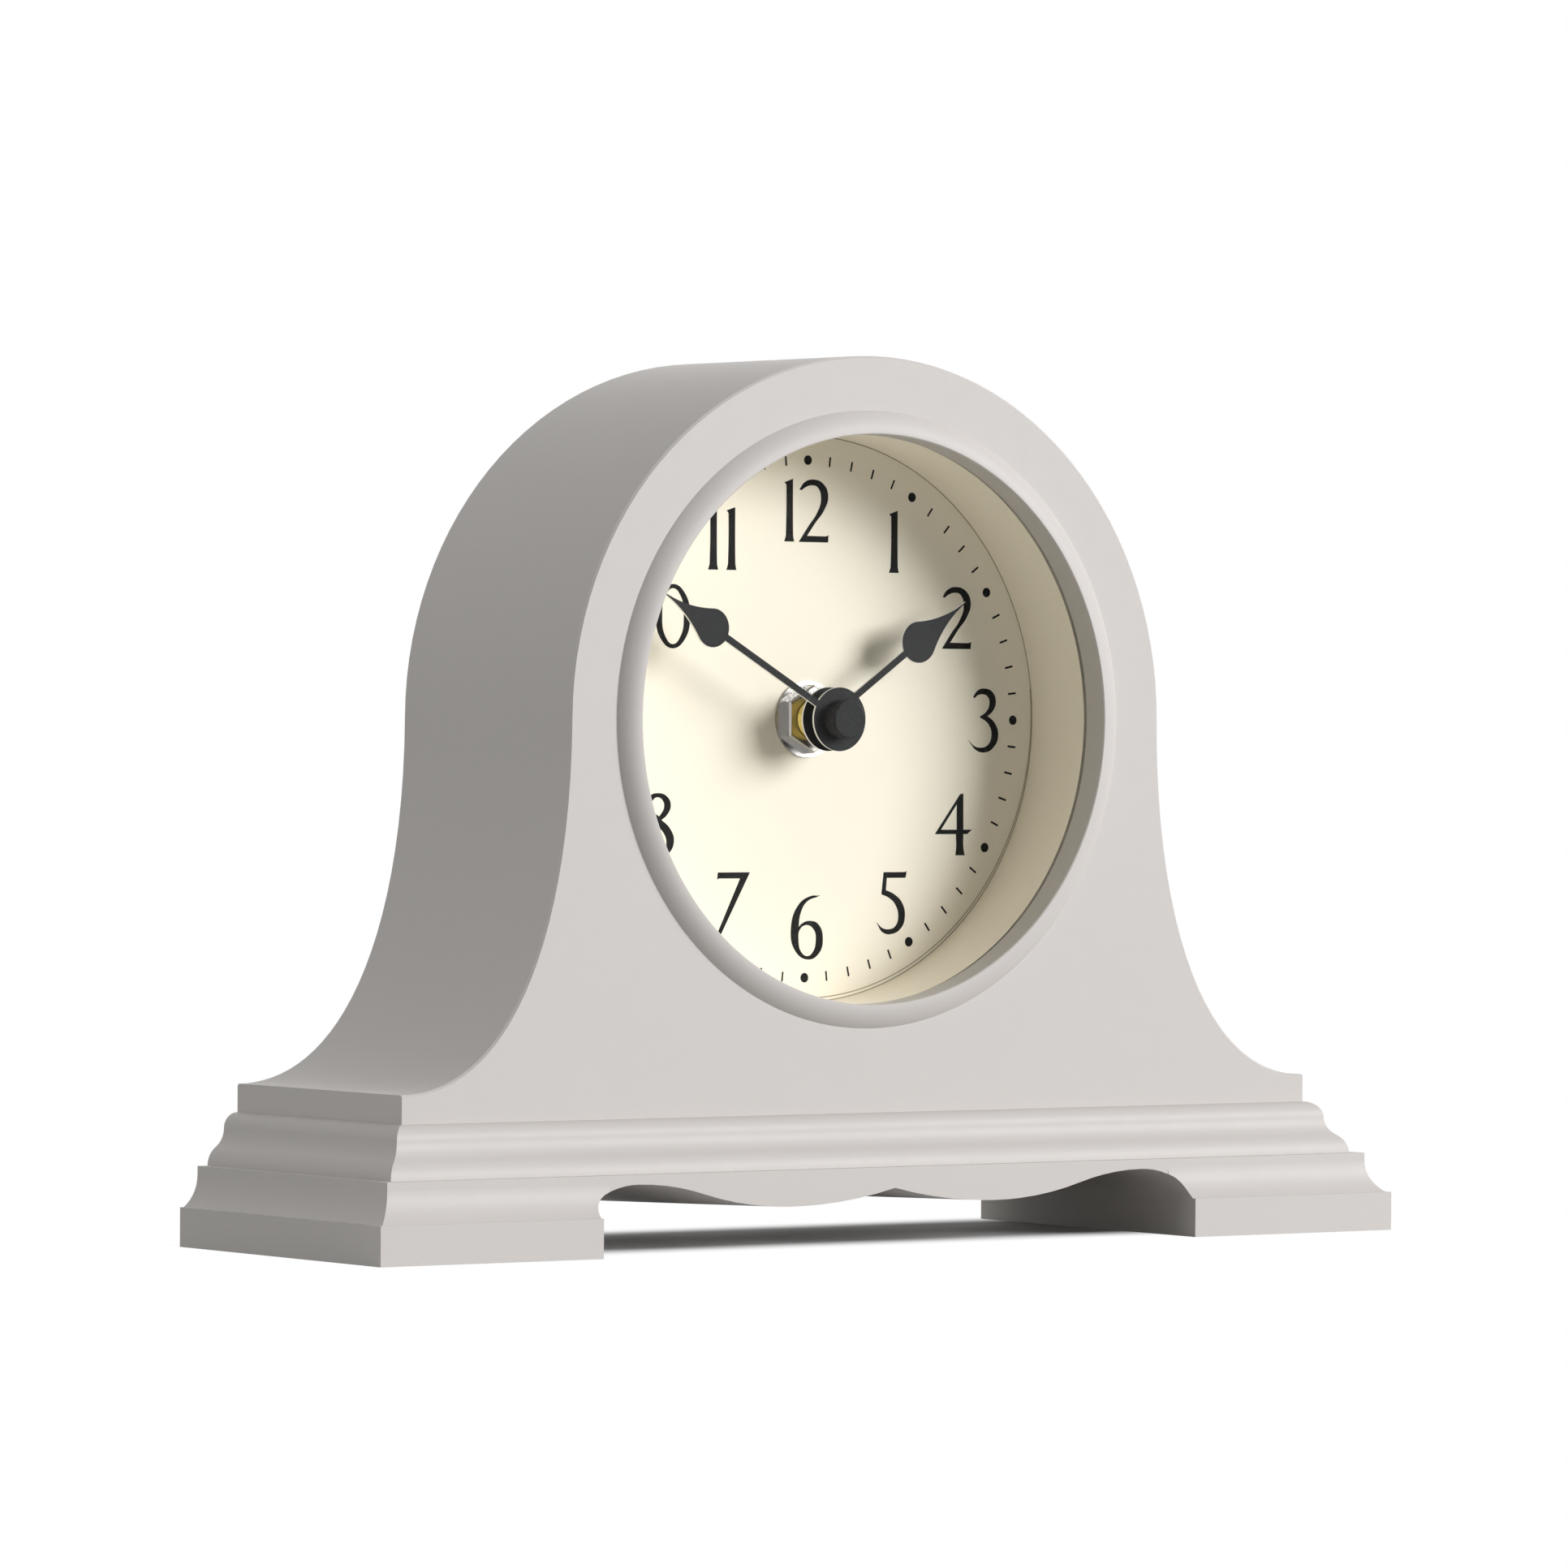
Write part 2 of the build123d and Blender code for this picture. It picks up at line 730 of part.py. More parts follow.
def movement_case():
    """Moulded box, open at the back, with a divider between wheel work and battery bay."""
    case = slab(movement_outline(), movement_front, cover_front)
    case -= block(-inner_half, inner_half, train_floor, train_ceiling, train_front, cover_front + overrun)
    case -= block(-inner_half, inner_half, bay_bottom, bay_top, train_front, cover_front + overrun)
    for place in post_places():
        case += rod(post_radius, train_front, plate_front, place)
    case += rod(boss_radius, train_front, minute_wheel_front + pivot_depth, third_place)
    case -= contact_slots()
    case -= rod(bushing_radius + hole_clearance, movement_front - overrun, train_front + overrun)
    pivot_floor = minute_wheel_front - running_clearance
    case -= pivot_hole(third_place, pivot_floor, minute_wheel_front + pivot_depth + overrun)
    minute_floor = train_front - pivot_depth - running_clearance
    return case - pivot_hole(minute_place, minute_floor, train_front + overrun)


def movement_cover():
    """Flat cover over the wheel work, with a locating rim, pivot bosses and the knob's hole."""
    top_half = block(-movement_half, movement_half, bay_top, movement_top, cover_front, cover_back)
    cover = slab(movement_outline(), cover_front, cover_back) & top_half
    outer = inner_half - fit_clearance
    inner = outer - cover_rim_wall
    low, high = train_floor + fit_clearance, train_ceiling - fit_clearance
    rim = block(-outer, outer, low, high, cover_front - cover_rim_height, cover_front)
    rim -= block(
        -inner,
        inner,
        low + cover_rim_wall,
        high - cover_rim_wall,
        cover_front - cover_rim_height - overrun,
        cover_front,
    )
    cover += rim
    for place in (hand_axis, third_place, intermediate_place, rotor_place):
        cover += rod(boss_radius, cover_front - boss_height, cover_front, place)
        cover -= pivot_hole(place, cover_front - boss_height - overrun, pivot_back + running_clearance)
    hole_front = cover_front - overrun
    return cover - rod(arbor_radius + running_clearance, hole_front, cover_back + overrun, minute_place)


def train_plate():
    """Plate on the case's posts, pierced for the pivots and open where the coil sits."""
    reach = inner_half - fit_clearance
    low, high = train_floor + fit_clearance, train_ceiling - fit_clearance
    plate = block(-reach, reach, low, high, plate_front, plate_back)
    plate -= block(
        rotor_place[0] - coil_length / 2 - coil_gap,
        rotor_place[0] + coil_length / 2 + coil_gap,
        coil_place - coil_radius - coil_gap / 2,
        train_ceiling,
        plate_front - overrun,
        plate_back + overrun,
    )
    for side in (-1, 1):
        half = contact_width / 2 + fit_clearance
        edge = inner_half - contact_thickness - fit_clearance
        plate -= block(
            min(side * edge, side * inner_half),
            max(side * edge, side * inner_half),
            train_floor,
            train_floor + contact_rise + fit_clearance,
            battery_axis_y - half,
            battery_axis_y + half,
        )
    for place in (hand_axis, intermediate_place, rotor_place):
        plate -= pivot_hole(place, plate_back - pivot_depth - running_clearance, plate_back + overrun)
    front_hole = plate_front + pivot_depth + running_clearance
    plate -= rod(arbor_radius + running_clearance, plate_front - overrun, front_hole)
    plate -= rod(arbor_radius + running_clearance, plate_front - overrun, plate_back + overrun, minute_place)
    pinion_tip = centre_module * (third_pinion_teeth / 2 + addendum_share)
    return plate - rod(pinion_tip + fit_clearance, plate_front - overrun, plate_back + overrun, third_place)


# Step motor and circuit


def stator():
    """Steel plate with two legs that carry the coil core, and the rotor's hole."""
    half_span = coil_length / 2 + stator_leg_width
    x, z = rotor_place
    bar_half = stator_hole_radius + stator_web
    leg_top = coil_place + core_width / 2
    plate = block(x - half_span, x + half_span, z - bar_half, z + bar_half, plate_back, stator_back)
    for side in (-1, 1):
        ends = (x + side * coil_length / 2 + side * coil_gap, x + side * half_span)
        plate += block(min(ends), max(ends), z - bar_half, leg_top, plate_back, stator_back)
    return plate - rod(stator_hole_radius, plate_back - overrun, stator_back + overrun, rotor_place)


def core_block(half_length, grow):
    """Bar along the coil axis, as large as the core's section plus a growth all round."""
    return block(
        rotor_place[0] - half_length,
        rotor_place[0] + half_length,
        coil_place - core_width / 2 - grow,
        coil_place + core_width / 2 + grow,
        coil_axis_y - core_thickness / 2 - grow,
        coil_axis_y + core_thickness / 2 + grow,
    )


def coil_core():
    return core_block(coil_length / 2 + stator_leg_width, 0)


def coil_disc(radius, from_middle, thickness):
    """Round slice of the coil, square to its axis."""
    slice_plane = Plane(
        origin=(rotor_place[0] + from_middle, coil_axis_y, dial_height + coil_place), z_dir=(1, 0, 0)
    )
    return extrude(slice_plane * Circle(radius), amount=thickness)


def coil_bobbin():
    half = coil_length / 2
    bobbin = core_block(half, fit_clearance + bobbin_wall)
    bobbin += coil_disc(coil_radius, -half, bobbin_flange)
    bobbin += coil_disc(coil_radius, half - bobbin_flange, bobbin_flange)
    return bobbin - core_block(half + overrun, fit_clearance)


def coil_winding():
    half = coil_length / 2 - bobbin_flange
    return coil_disc(coil_radius - winding_inset, -half, 2 * half) - core_block(
        half + overrun, fit_clearance + bobbin_wall
    )


def circuit_board():
    """Board along the right wall that widens beside the coil."""
    right = inner_half - contact_thickness - fit_clearance
    narrow = third_place[0] + third_tip_radius + board_gap
    wide = rotor_place[0] + coil_length / 2 + stator_leg_width + board_gap
    low, high = train_floor + board_gap, train_ceiling - board_room
    step = third_tip_radius + board_gap
    board = block(narrow, right, low, high, plate_back, plate_back + board_thickness)
    return board + block(wide, right, step, high, plate_back, plate_back + board_thickness)


def board_place(share):
    """Point across the board's wide part, as a share of its width from the left."""
    left = rotor_place[0] + coil_length / 2 + stator_leg_width + board_gap
    right = inner_half - contact_thickness - fit_clearance
    return left + share * (right - left)


def timing_chip():
    front = plate_back + board_thickness
    middle = (third_tip_radius + train_ceiling) / 2
    return rod(chip_radius, front, front + chip_height, (board_place(chip_share), middle))


def quartz_crystal():
    """Can lying on the board."""
    middle = (third_tip_radius + train_ceiling) / 2
    base = Plane(
        origin=(
            board_place(crystal_share),
            plate_back + board_thickness + crystal_radius,
            dial_height + middle - crystal_length / 2,
        ),
        z_dir=(0, 0, 1),
    )
    return extrude(base * Circle(crystal_radius), amount=crystal_length)


# Battery, contacts and knob


def battery():
    """Cell with its nub to the right, as seen from the front."""
    base = Plane(origin=(-battery_length / 2, battery_axis_y, dial_height + battery_place), z_dir=(1, 0, 0))
    cell = extrude(base * Circle(battery_radius), amount=battery_length - battery_nub_length)
    cell = chamfer(cell.edges().filter_by(GeomType.CIRCLE), battery_edge_bevel)
    nub_base = base.offset(battery_length - battery_nub_length)
    return cell + extrude(nub_base * Circle(battery_nub_radius), amount=battery_nub_length)


def contact_strip(side):
    """Flat strip on the bay's end wall that rises through the divider."""
    ends = (side * inner_half, side * (inner_half - contact_thickness))
    return block(
        min(ends),
        max(ends),
        bay_bottom + battery_play,
        train_floor + contact_rise,
        battery_axis_y - contact_width / 2,
        battery_axis_y + contact_width / 2,
    )


def positive_contact():
    """Strip with a round stud that meets the nub."""
    face = inner_half - contact_thickness
    stud_length = contact_room - contact_thickness - contact_gap
    base = Plane(origin=(face, battery_axis_y, dial_height + battery_place), z_dir=(-1, 0, 0))
    return contact_strip(1) + extrude(base * Circle(battery_nub_radius), amount=stud_length)


def negative_contact():
    """Strip with a bowed leaf that presses on the flat end."""
    face = -inner_half + contact_thickness
    crest = -inner_half + contact_room - contact_gap
    low, high = battery_place - contact_bow_half, battery_place + contact_bow_half
    outer = ThreePointArc((face, low), (crest, battery_place), (face, high))
    inner = ThreePointArc(
        (face, low + contact_thickness),
        (crest - contact_thickness, battery_place),
        (face, high - contact_thickness),
    )
    ends = [
        Line((face, low), (face, low + contact_thickness)),
        Line((face, high - contact_thickness), (face, high)),
    ]
    half = contact_width / 2
    bow = slab(make_face([outer, inner, *ends]), battery_axis_y - half, battery_axis_y + half)
    return contact_strip(-1) + bow


def set_knob():
    """Ribbed knob pressed on the minute wheel's arbor."""
    rib_module = 2 * knob_radius / (knob_ribs + 2 * addendum_share)
    knob = slab(gear(knob_ribs, rib_module, 0, minute_place), knob_front, knob_back)
    hole_radius = arbor_radius + press_clearance
    return knob - rod(hole_radius, knob_front - overrun, knob_back - knob_web, minute_place)


pieces = [
    case_body,
    base_moulding,
    plinth,
    base_screws,
    bezel,
    lens,
    dial_ring,
    dial,
    bushing,
    cushion_washer,
    dial_washer,
    hex_nut,
    hour_hand,
    minute_hand,
    hand_cap,
    movement_case,
    movement_cover,
    train_plate,
    minute_arbor,
    hour_wheel,
    minute_wheel,
    centre_wheel,
    third_wheel,
    seconds_wheel,
    intermediate_wheel,
    rotor,
    stator,
    coil_core,
    coil_bobbin,
    coil_winding,
    circuit_board,
    timing_chip,
    quartz_crystal,
    battery,
    positive_contact,
    negative_contact,
    set_knob,
]

os.makedirs("parts", exist_ok=True)
for piece in pieces:
    export_step(piece(), f"parts/{piece.__name__}.step")
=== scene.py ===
# %% [markdown]
# # A painted mantel clock, dressed in Blender
# The solids of this clock come from a CAD model: a round-headed wooden case on a moulded base, a
# glazed dial, two teardrop hands and a battery movement. They are already in their places, in
# metres, with the dial facing -Y and +Z up. This lesson gives every solid its finish, adds what is
# too fine for the solids (printed numbers, screw threads, the cell's sleeve) and sets up the photo
# studio. Each step first says what the thing is on a real clock and why it is made this way.

# %% Load the solids
import json
import math

import bmesh
import bpy
from mathutils import Matrix, Vector
from mathutils.geometry import interpolate_bezier


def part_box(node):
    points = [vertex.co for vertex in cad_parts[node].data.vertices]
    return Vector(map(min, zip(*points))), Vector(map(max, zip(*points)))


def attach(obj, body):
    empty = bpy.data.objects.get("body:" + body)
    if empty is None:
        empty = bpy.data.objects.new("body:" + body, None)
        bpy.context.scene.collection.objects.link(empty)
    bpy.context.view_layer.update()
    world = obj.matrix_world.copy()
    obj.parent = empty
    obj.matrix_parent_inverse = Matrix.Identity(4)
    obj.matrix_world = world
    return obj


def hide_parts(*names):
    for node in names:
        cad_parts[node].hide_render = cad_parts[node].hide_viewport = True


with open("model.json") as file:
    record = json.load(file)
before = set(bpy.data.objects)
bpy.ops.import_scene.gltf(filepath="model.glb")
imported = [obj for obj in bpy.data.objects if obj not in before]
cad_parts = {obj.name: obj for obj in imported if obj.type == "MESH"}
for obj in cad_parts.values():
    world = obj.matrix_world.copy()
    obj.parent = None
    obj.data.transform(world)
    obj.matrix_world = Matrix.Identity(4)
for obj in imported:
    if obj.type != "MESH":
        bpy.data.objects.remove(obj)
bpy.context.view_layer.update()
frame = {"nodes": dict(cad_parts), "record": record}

MM = 0.001
nodes = frame["nodes"]

# %% [markdown]
# ## Measuring from the solids
# Each added piece takes its place from the solids. The hand axis is the middle of the dial, and the
# dial's front face carries the print.

# %% Places taken from the solids
dial_low, dial_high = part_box("dial")
case_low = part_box("case_body")[0]
bezel_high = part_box("bezel")[1]
bushing_low, bushing_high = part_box("bushing")
knob_low, knob_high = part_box("set_knob")
cover_low, cover_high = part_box("movement_cover")
cell_low, cell_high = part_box("battery")
screws_low, screws_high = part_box("base_screws")
foot_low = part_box("plinth")[0]
axis_x = (dial_low[0] + dial_high[0]) / 2
axis_z = (dial_low[2] + dial_high[2]) / 2
dial_front = dial_low[1]
print("hand axis height %.1f mm, dial face at y %.1f mm" % (axis_z / MM, dial_front / MM))

# %% [markdown]
# ## The camera
# The photograph was taken from the front left with a long lens, almost level with the middle of
# the clock. A long lens keeps upright lines parallel. The numbers below were found by matching the
# clock's corners, its arch and the dots on its dial with their places in the picture. The matrix
# is built from three axes: right, up and back.

# %% Put the camera where the photographer stood
VIEW_TURN = math.radians(-35.575)
VIEW_PITCH = math.radians(0.507)
VIEW_ROLL = math.radians(0.405)
VIEW_TARGET = Vector((-20.447, -22.2, 88.067)) * MM
VIEW_DISTANCE = 1672.2 * MM
FOCAL_PIXELS = 10850.5
IMAGE_PIXELS = 1932
SENSOR = 36.0
VIEW_REACH = 50.0

back = Vector(
    (
        math.sin(VIEW_TURN) * math.cos(VIEW_PITCH),
        -math.cos(VIEW_TURN) * math.cos(VIEW_PITCH),
        math.sin(VIEW_PITCH),
    )
)
level_right = (-back).cross(Vector((0, 0, 1))).normalized()
level_up = level_right.cross(-back)
right = level_right * math.cos(VIEW_ROLL) + level_up * math.sin(VIEW_ROLL)
up = level_up * math.cos(VIEW_ROLL) - level_right * math.sin(VIEW_ROLL)

camera = bpy.data.objects.new("camera", bpy.data.cameras.new("camera"))
camera.data.sensor_width = SENSOR
camera.data.lens = FOCAL_PIXELS / IMAGE_PIXELS * SENSOR
camera.data.clip_end = VIEW_REACH
turn = Matrix((right, up, back)).transposed().to_4x4()
camera.matrix_world = Matrix.Translation(VIEW_TARGET + back * VIEW_DISTANCE) @ turn
bpy.context.scene.collection.objects.link(camera)
bpy.context.scene.camera = camera
print("lens %.1f mm" % camera.data.lens)

# %% [markdown]
# ## Small helpers for node trees
# Shader nodes are quicker to read as one line each. `add` makes a node, sets its fields, and fills
# or links its inputs. `finish_for` starts a material with a Principled shader, and `group_tree`
# starts a node group with named sockets, which several materials then share. `maths` is one Math
# node, and `seen_directly` tells rays that look at a surface from rays that are lit by it.

# %% Node helpers
WHITE = (1, 1, 1, 1)


def add(tree, kind, inputs=None, **fields):
    made = tree.nodes.new(kind)
    for name, value in fields.items():
        setattr(made, name, value)
    for name, value in (inputs or {}).items():
        if isinstance(value, bpy.types.NodeSocket):
            tree.links.new(value, made.inputs[name])
        else:
            made.inputs[name].default_value = value
    return made


def finish_for(name):
    """A material with a Principled shader: gives the material, its tree and the shader."""
    material = bpy.data.materials.new(name)
    material.use_nodes = True
    tree = material.node_tree
    tree.nodes.clear()
    shader = add(tree, "ShaderNodeBsdfPrincipled")
    out = add(tree, "ShaderNodeOutputMaterial")
    tree.links.new(shader.outputs[0], out.inputs["Surface"])
    return material, tree, shader


def group_tree(name, inputs, outputs):
    tree = bpy.data.node_groups.new(name, "ShaderNodeTree")
    for socket, kind in inputs.items():
        tree.interface.new_socket(socket, in_out="INPUT", socket_type="NodeSocket" + kind)
    for socket, kind in outputs.items():
        tree.interface.new_socket(socket, in_out="OUTPUT", socket_type="NodeSocket" + kind)
    return tree, add(tree, "NodeGroupInput"), add(tree, "NodeGroupOutput")


def use_group(tree, group, inputs):
    return add(tree, "ShaderNodeGroup", inputs, node_tree=group)


def maths(tree, operation, first, second=0.0):
    return add(tree, "ShaderNodeMath", {0: first, 1: second}, operation=operation).outputs[0]


def seen_directly(tree):
    """1 for rays from the camera, from a mirror or through glass, and 0 for other rays."""
    rays = add(tree, "ShaderNodeLightPath").outputs
    mirrored = maths(tree, "MAXIMUM", rays["Is Camera Ray"], rays["Is Glossy Ray"])
    return maths(tree, "MAXIMUM", mirrored, rays["Is Transmission Ray"])


def srgb(red, green, blue):
    """Screen colour out of 255 as the linear colour that a shader wants."""
    def linear(value):
        share = value / 255
        return share / 12.92 if share <= 0.04045 else ((share + 0.055) / 1.055) ** 2.4

    return (linear(red), linear(green), linear(blue), 1)


# %% [markdown]
# ## Floor, backdrop and light
# The photograph is a product picture: the clock stands on white, one big soft light comes from the
# front right, and weaker ones fill from above, from the left and from behind. The white is not made
# by more light. The world and the floor are white only to the camera and to reflections, and the
# clock itself is lit by the soft boxes and a dim sky. Under the clock the floor is an ordinary pale
# surface, so it keeps the shadow that the clock stands in, and the white fades in round that. The
# box behind the clock is left out of mirror images, so that it doesn't glint along the arch.

# %% Floor
FLOOR_HALF = 4.0
FLOOR_DROP = 0.02 * MM
SHADOW_HALF = (110 * MM, 26 * MM)
SHADOW_MIDDLE = (0.0, 7.5 * MM)
SHADOW_FADE = 10 * MM
FLOOR_COLOUR = srgb(184, 184, 182)
FLOOR_SEEN = (0.66, 0.66, 0.66, 1)

shape = bmesh.new()
bmesh.ops.create_grid(shape, x_segments=1, y_segments=1, size=FLOOR_HALF)
bmesh.ops.translate(shape, verts=shape.verts, vec=(0, 0, foot_low[2] - FLOOR_DROP))
floor_mesh = bpy.data.meshes.new("floor")
shape.to_mesh(floor_mesh)
shape.free()
floor = bpy.data.objects.new("floor", floor_mesh)
bpy.context.scene.collection.objects.link(floor)

floor_finish = bpy.data.materials.new("pale_floor")
floor_finish.use_nodes = True
tree = floor_finish.node_tree
tree.nodes.clear()
place = add(tree, "ShaderNodeTexCoord").outputs["Object"]
apart = add(tree, "ShaderNodeSeparateXYZ", {"Vector": place})
outside = []
for axis, middle, half in zip("XY", SHADOW_MIDDLE, SHADOW_HALF):
    far = maths(tree, "ABSOLUTE", maths(tree, "SUBTRACT", apart.outputs[axis], middle))
    outside.append(maths(tree, "SUBTRACT", far, half))
fade = add(
    tree,
    "ShaderNodeMapRange",
    {"Value": maths(tree, "MAXIMUM", *outside), "From Min": -SHADOW_FADE, "From Max": SHADOW_FADE},
    interpolation_type="SMOOTHSTEP",
)
seen = seen_directly(tree)
tint = add(
    tree, "ShaderNodeMix", {"Factor": seen, "A": FLOOR_COLOUR, "B": FLOOR_SEEN}, data_type="RGBA"
)
matt = add(tree, "ShaderNodeBsdfDiffuse", {"Color": tint.outputs["Result"]})
white = add(tree, "ShaderNodeEmission", {"Color": WHITE, "Strength": 1.0})
open_floor = maths(tree, "MULTIPLY", seen, fade.outputs[0])
blend = add(tree, "ShaderNodeMixShader", {0: open_floor, 1: matt.outputs[0], 2: white.outputs[0]})
add(tree, "ShaderNodeOutputMaterial", {"Surface": blend.outputs[0]})
floor_mesh.materials.append(floor_finish)

# %% World and lamps
SKY_STRENGTH = 0.16
KEY_TOWARDS = Vector((0.615, -0.73, 0.285)).normalized()
KEY_DISTANCE = 6.0
KEY_SIZE = (3.4, 2.8)
KEY_WATTS = 400.0
TOP_TOWARDS = Vector((-0.10, 0.10, 1.0)).normalized()
TOP_DISTANCE = 1.4
TOP_SIZE = (1.2, 1.2)
TOP_WATTS = 5.2
SIDE_TOWARDS = Vector((-0.95, 0.22, 0.12)).normalized()
SIDE_DISTANCE = 2.4
SIDE_SIZE = (1.6, 1.6)
SIDE_WATTS = 13.2
BACK_TOWARDS = Vector((0.42, 0.89, 0.16)).normalized()
BACK_DISTANCE = 3.0
BACK_SIZE = (1.75, 1.75)
BACK_WATTS = 52.0
FILL_TINT = (0.98, 1.0, 0.985)

world = bpy.data.worlds.new("white_room")
world.use_nodes = True
bpy.context.scene.world = world
tree = world.node_tree
tree.nodes.clear()
seen = seen_directly(tree)
sky = add(tree, "ShaderNodeBackground", {"Color": (*FILL_TINT, 1), "Strength": SKY_STRENGTH})
paper = add(tree, "ShaderNodeBackground", {"Color": WHITE, "Strength": 1.0})
blend = add(tree, "ShaderNodeMixShader", {0: seen, 1: sky.outputs[0], 2: paper.outputs[0]})
add(tree, "ShaderNodeOutputWorld", {"Surface": blend.outputs[0]})


def soft_box(name, towards, distance, size, watts, tint=(1, 1, 1), mirrored=True):
    lamp = bpy.data.lights.new(name, "AREA")
    lamp.shape = "RECTANGLE"
    lamp.size, lamp.size_y = size
    lamp.energy = watts
    lamp.color = tint
    box = bpy.data.objects.new(name, lamp)
    box.location = Vector((axis_x, dial_front, axis_z)) + towards * distance
    box.rotation_euler = towards.to_track_quat("Z", "Y").to_euler()
    box.visible_glossy = mirrored
    bpy.context.scene.collection.objects.link(box)


soft_box("key_box", KEY_TOWARDS, KEY_DISTANCE, KEY_SIZE, KEY_WATTS)
soft_box("top_box", TOP_TOWARDS, TOP_DISTANCE, TOP_SIZE, TOP_WATTS)
soft_box("side_box", SIDE_TOWARDS, SIDE_DISTANCE, SIDE_SIZE, SIDE_WATTS, FILL_TINT)
soft_box("back_box", BACK_TOWARDS, BACK_DISTANCE, BACK_SIZE, BACK_WATTS, mirrored=False)
bpy.context.scene.view_settings.view_transform = "Standard"

# %% [markdown]
# ## Effects that several finishes share
# Real surfaces differ a little from place to place. Three small node groups do that for all the
# finishes here. `tone_drift` lets a colour wander by a few percent over some centimetres. `fine_grain`
# gives the tiny bumps of sprayed paint, paper or moulded plastic. `lathe_lines` gives the fine rings
# that a turning tool leaves round an axis. They read Object coordinates, so the pattern stays on the
# piece when it moves.

# %% Shared node groups
NOISE_MIDDLE = 0.5

tone_drift, start, end = group_tree(
    "tone_drift",
    {"Vector": "Vector", "Colour": "Color", "Scale": "Float", "Amount": "Float"},
    {"Colour": "Color"},
)
cloud = add(
    tone_drift,
    "ShaderNodeTexNoise",
    {"Vector": start.outputs["Vector"], "Scale": start.outputs["Scale"], "Detail": 4.0},
)
lift = maths(tone_drift, "SUBTRACT", cloud.outputs[0], NOISE_MIDDLE)
swing = maths(tone_drift, "MULTIPLY", lift, start.outputs["Amount"])
level = maths(tone_drift, "ADD", swing, 1.0)
scaled = add(
    tone_drift,
    "ShaderNodeVectorMath",
    {0: start.outputs["Colour"], "Scale": level},
    operation="SCALE",
)
tone_drift.links.new(scaled.outputs[0], end.inputs["Colour"])

fine_grain, start, end = group_tree(
    "fine_grain", {"Vector": "Vector", "Scale": "Float", "Coarse": "Float"}, {"Height": "Float"}
)
peel = add(
    fine_grain,
    "ShaderNodeTexNoise",
    {"Vector": start.outputs["Vector"], "Scale": start.outputs["Scale"], "Detail": 3.0},
)
wave = add(
    fine_grain,
    "ShaderNodeTexNoise",
    {"Vector": start.outputs["Vector"], "Scale": start.outputs["Coarse"], "Detail": 2.0},
)
total = maths(fine_grain, "ADD", peel.outputs[0], wave.outputs[0])
fine_grain.links.new(total, end.inputs["Height"])

lathe_lines, start, end = group_tree(
    "lathe_lines", {"Vector": "Vector", "Scale": "Float"}, {"Height": "Float"}
)
apart = add(lathe_lines, "ShaderNodeSeparateXYZ", {"Vector": start.outputs["Vector"]})
across = add(
    lathe_lines, "ShaderNodeCombineXYZ", {"X": apart.outputs["X"], "Y": apart.outputs["Z"]}
)
radius = add(lathe_lines, "ShaderNodeVectorMath", {0: across.outputs[0]}, operation="LENGTH")
along = add(
    lathe_lines, "ShaderNodeCombineXYZ", {"X": radius.outputs["Value"], "Y": apart.outputs["Y"]}
)
rings = add(
    lathe_lines,
    "ShaderNodeTexNoise",
    {"Vector": along.outputs[0], "Scale": start.outputs["Scale"], "Detail": 2.0},
)
lathe_lines.links.new(rings.outputs[0], end.inputs["Height"])

# %% [markdown]
# ## The finishes
# Each finish is one short function. A finish reads the place on the piece, lets the colour drift,
# varies the roughness a little and adds its grain through a Bump node. Values that are the same all
# over stay on the shader itself.

# %% Finish builder
GRAIN_LOW, GRAIN_HIGH = 0.2, 1.6
ROUGH_LOW, ROUGH_HIGH = 0.9, 1.12


def about_axis(tree, centre=(0, 0, 0)):
    """Object coordinates counted from a point, for patterns that turn round an axis."""
    place = add(tree, "ShaderNodeTexCoord").outputs["Object"]
    return add(
        tree, "ShaderNodeVectorMath", {0: place, 1: centre}, operation="SUBTRACT"
    ).outputs[0]


def surface(
    name,
    colour,
    rough,
    drift=0.04,
    drift_scale=40.0,
    grain=900.0,
    coarse=250.0,
    depth=0.01 * MM,
    turned=None,
    metal=0.0,
    **plain,
):
    """One finish: drifting colour, uneven roughness, grain. `turned` is a point on a lathe axis."""
    material, tree, shader = finish_for(name)
    spot = about_axis(tree, turned or (0, 0, 0))
    hue = use_group(
        tree, tone_drift, {"Vector": spot, "Colour": colour, "Scale": drift_scale, "Amount": drift}
    )
    if turned:
        height = use_group(tree, lathe_lines, {"Vector": spot, "Scale": grain}).outputs[0]
    else:
        height = use_group(
            tree, fine_grain, {"Vector": spot, "Scale": grain, "Coarse": coarse}
        ).outputs[0]
    uneven = add(
        tree,
        "ShaderNodeMapRange",
        {
            "Value": height,
            "From Min": GRAIN_LOW,
            "From Max": GRAIN_HIGH,
            "To Min": rough * ROUGH_LOW,
            "To Max": rough * ROUGH_HIGH,
        },
    )
    bump = add(tree, "ShaderNodeBump", {"Height": height, "Distance": depth, "Strength": 1.0})
    tree.links.new(hue.outputs[0], shader.inputs["Base Color"])
    tree.links.new(uneven.outputs[0], shader.inputs["Roughness"])
    tree.links.new(bump.outputs[0], shader.inputs["Normal"])
    shader.inputs["Metallic"].default_value = metal
    for socket, value in plain.items():
        shader.inputs[socket.replace("_", " ")].default_value = value
    return material, tree, shader


HAND_AXIS = (axis_x, 0, axis_z)
KNOB_AXIS = ((knob_low[0] + knob_high[0]) / 2, 0, (knob_low[2] + knob_high[2]) / 2)
finishes = {}


def keep(slot, made):
    finishes[slot] = made[0]


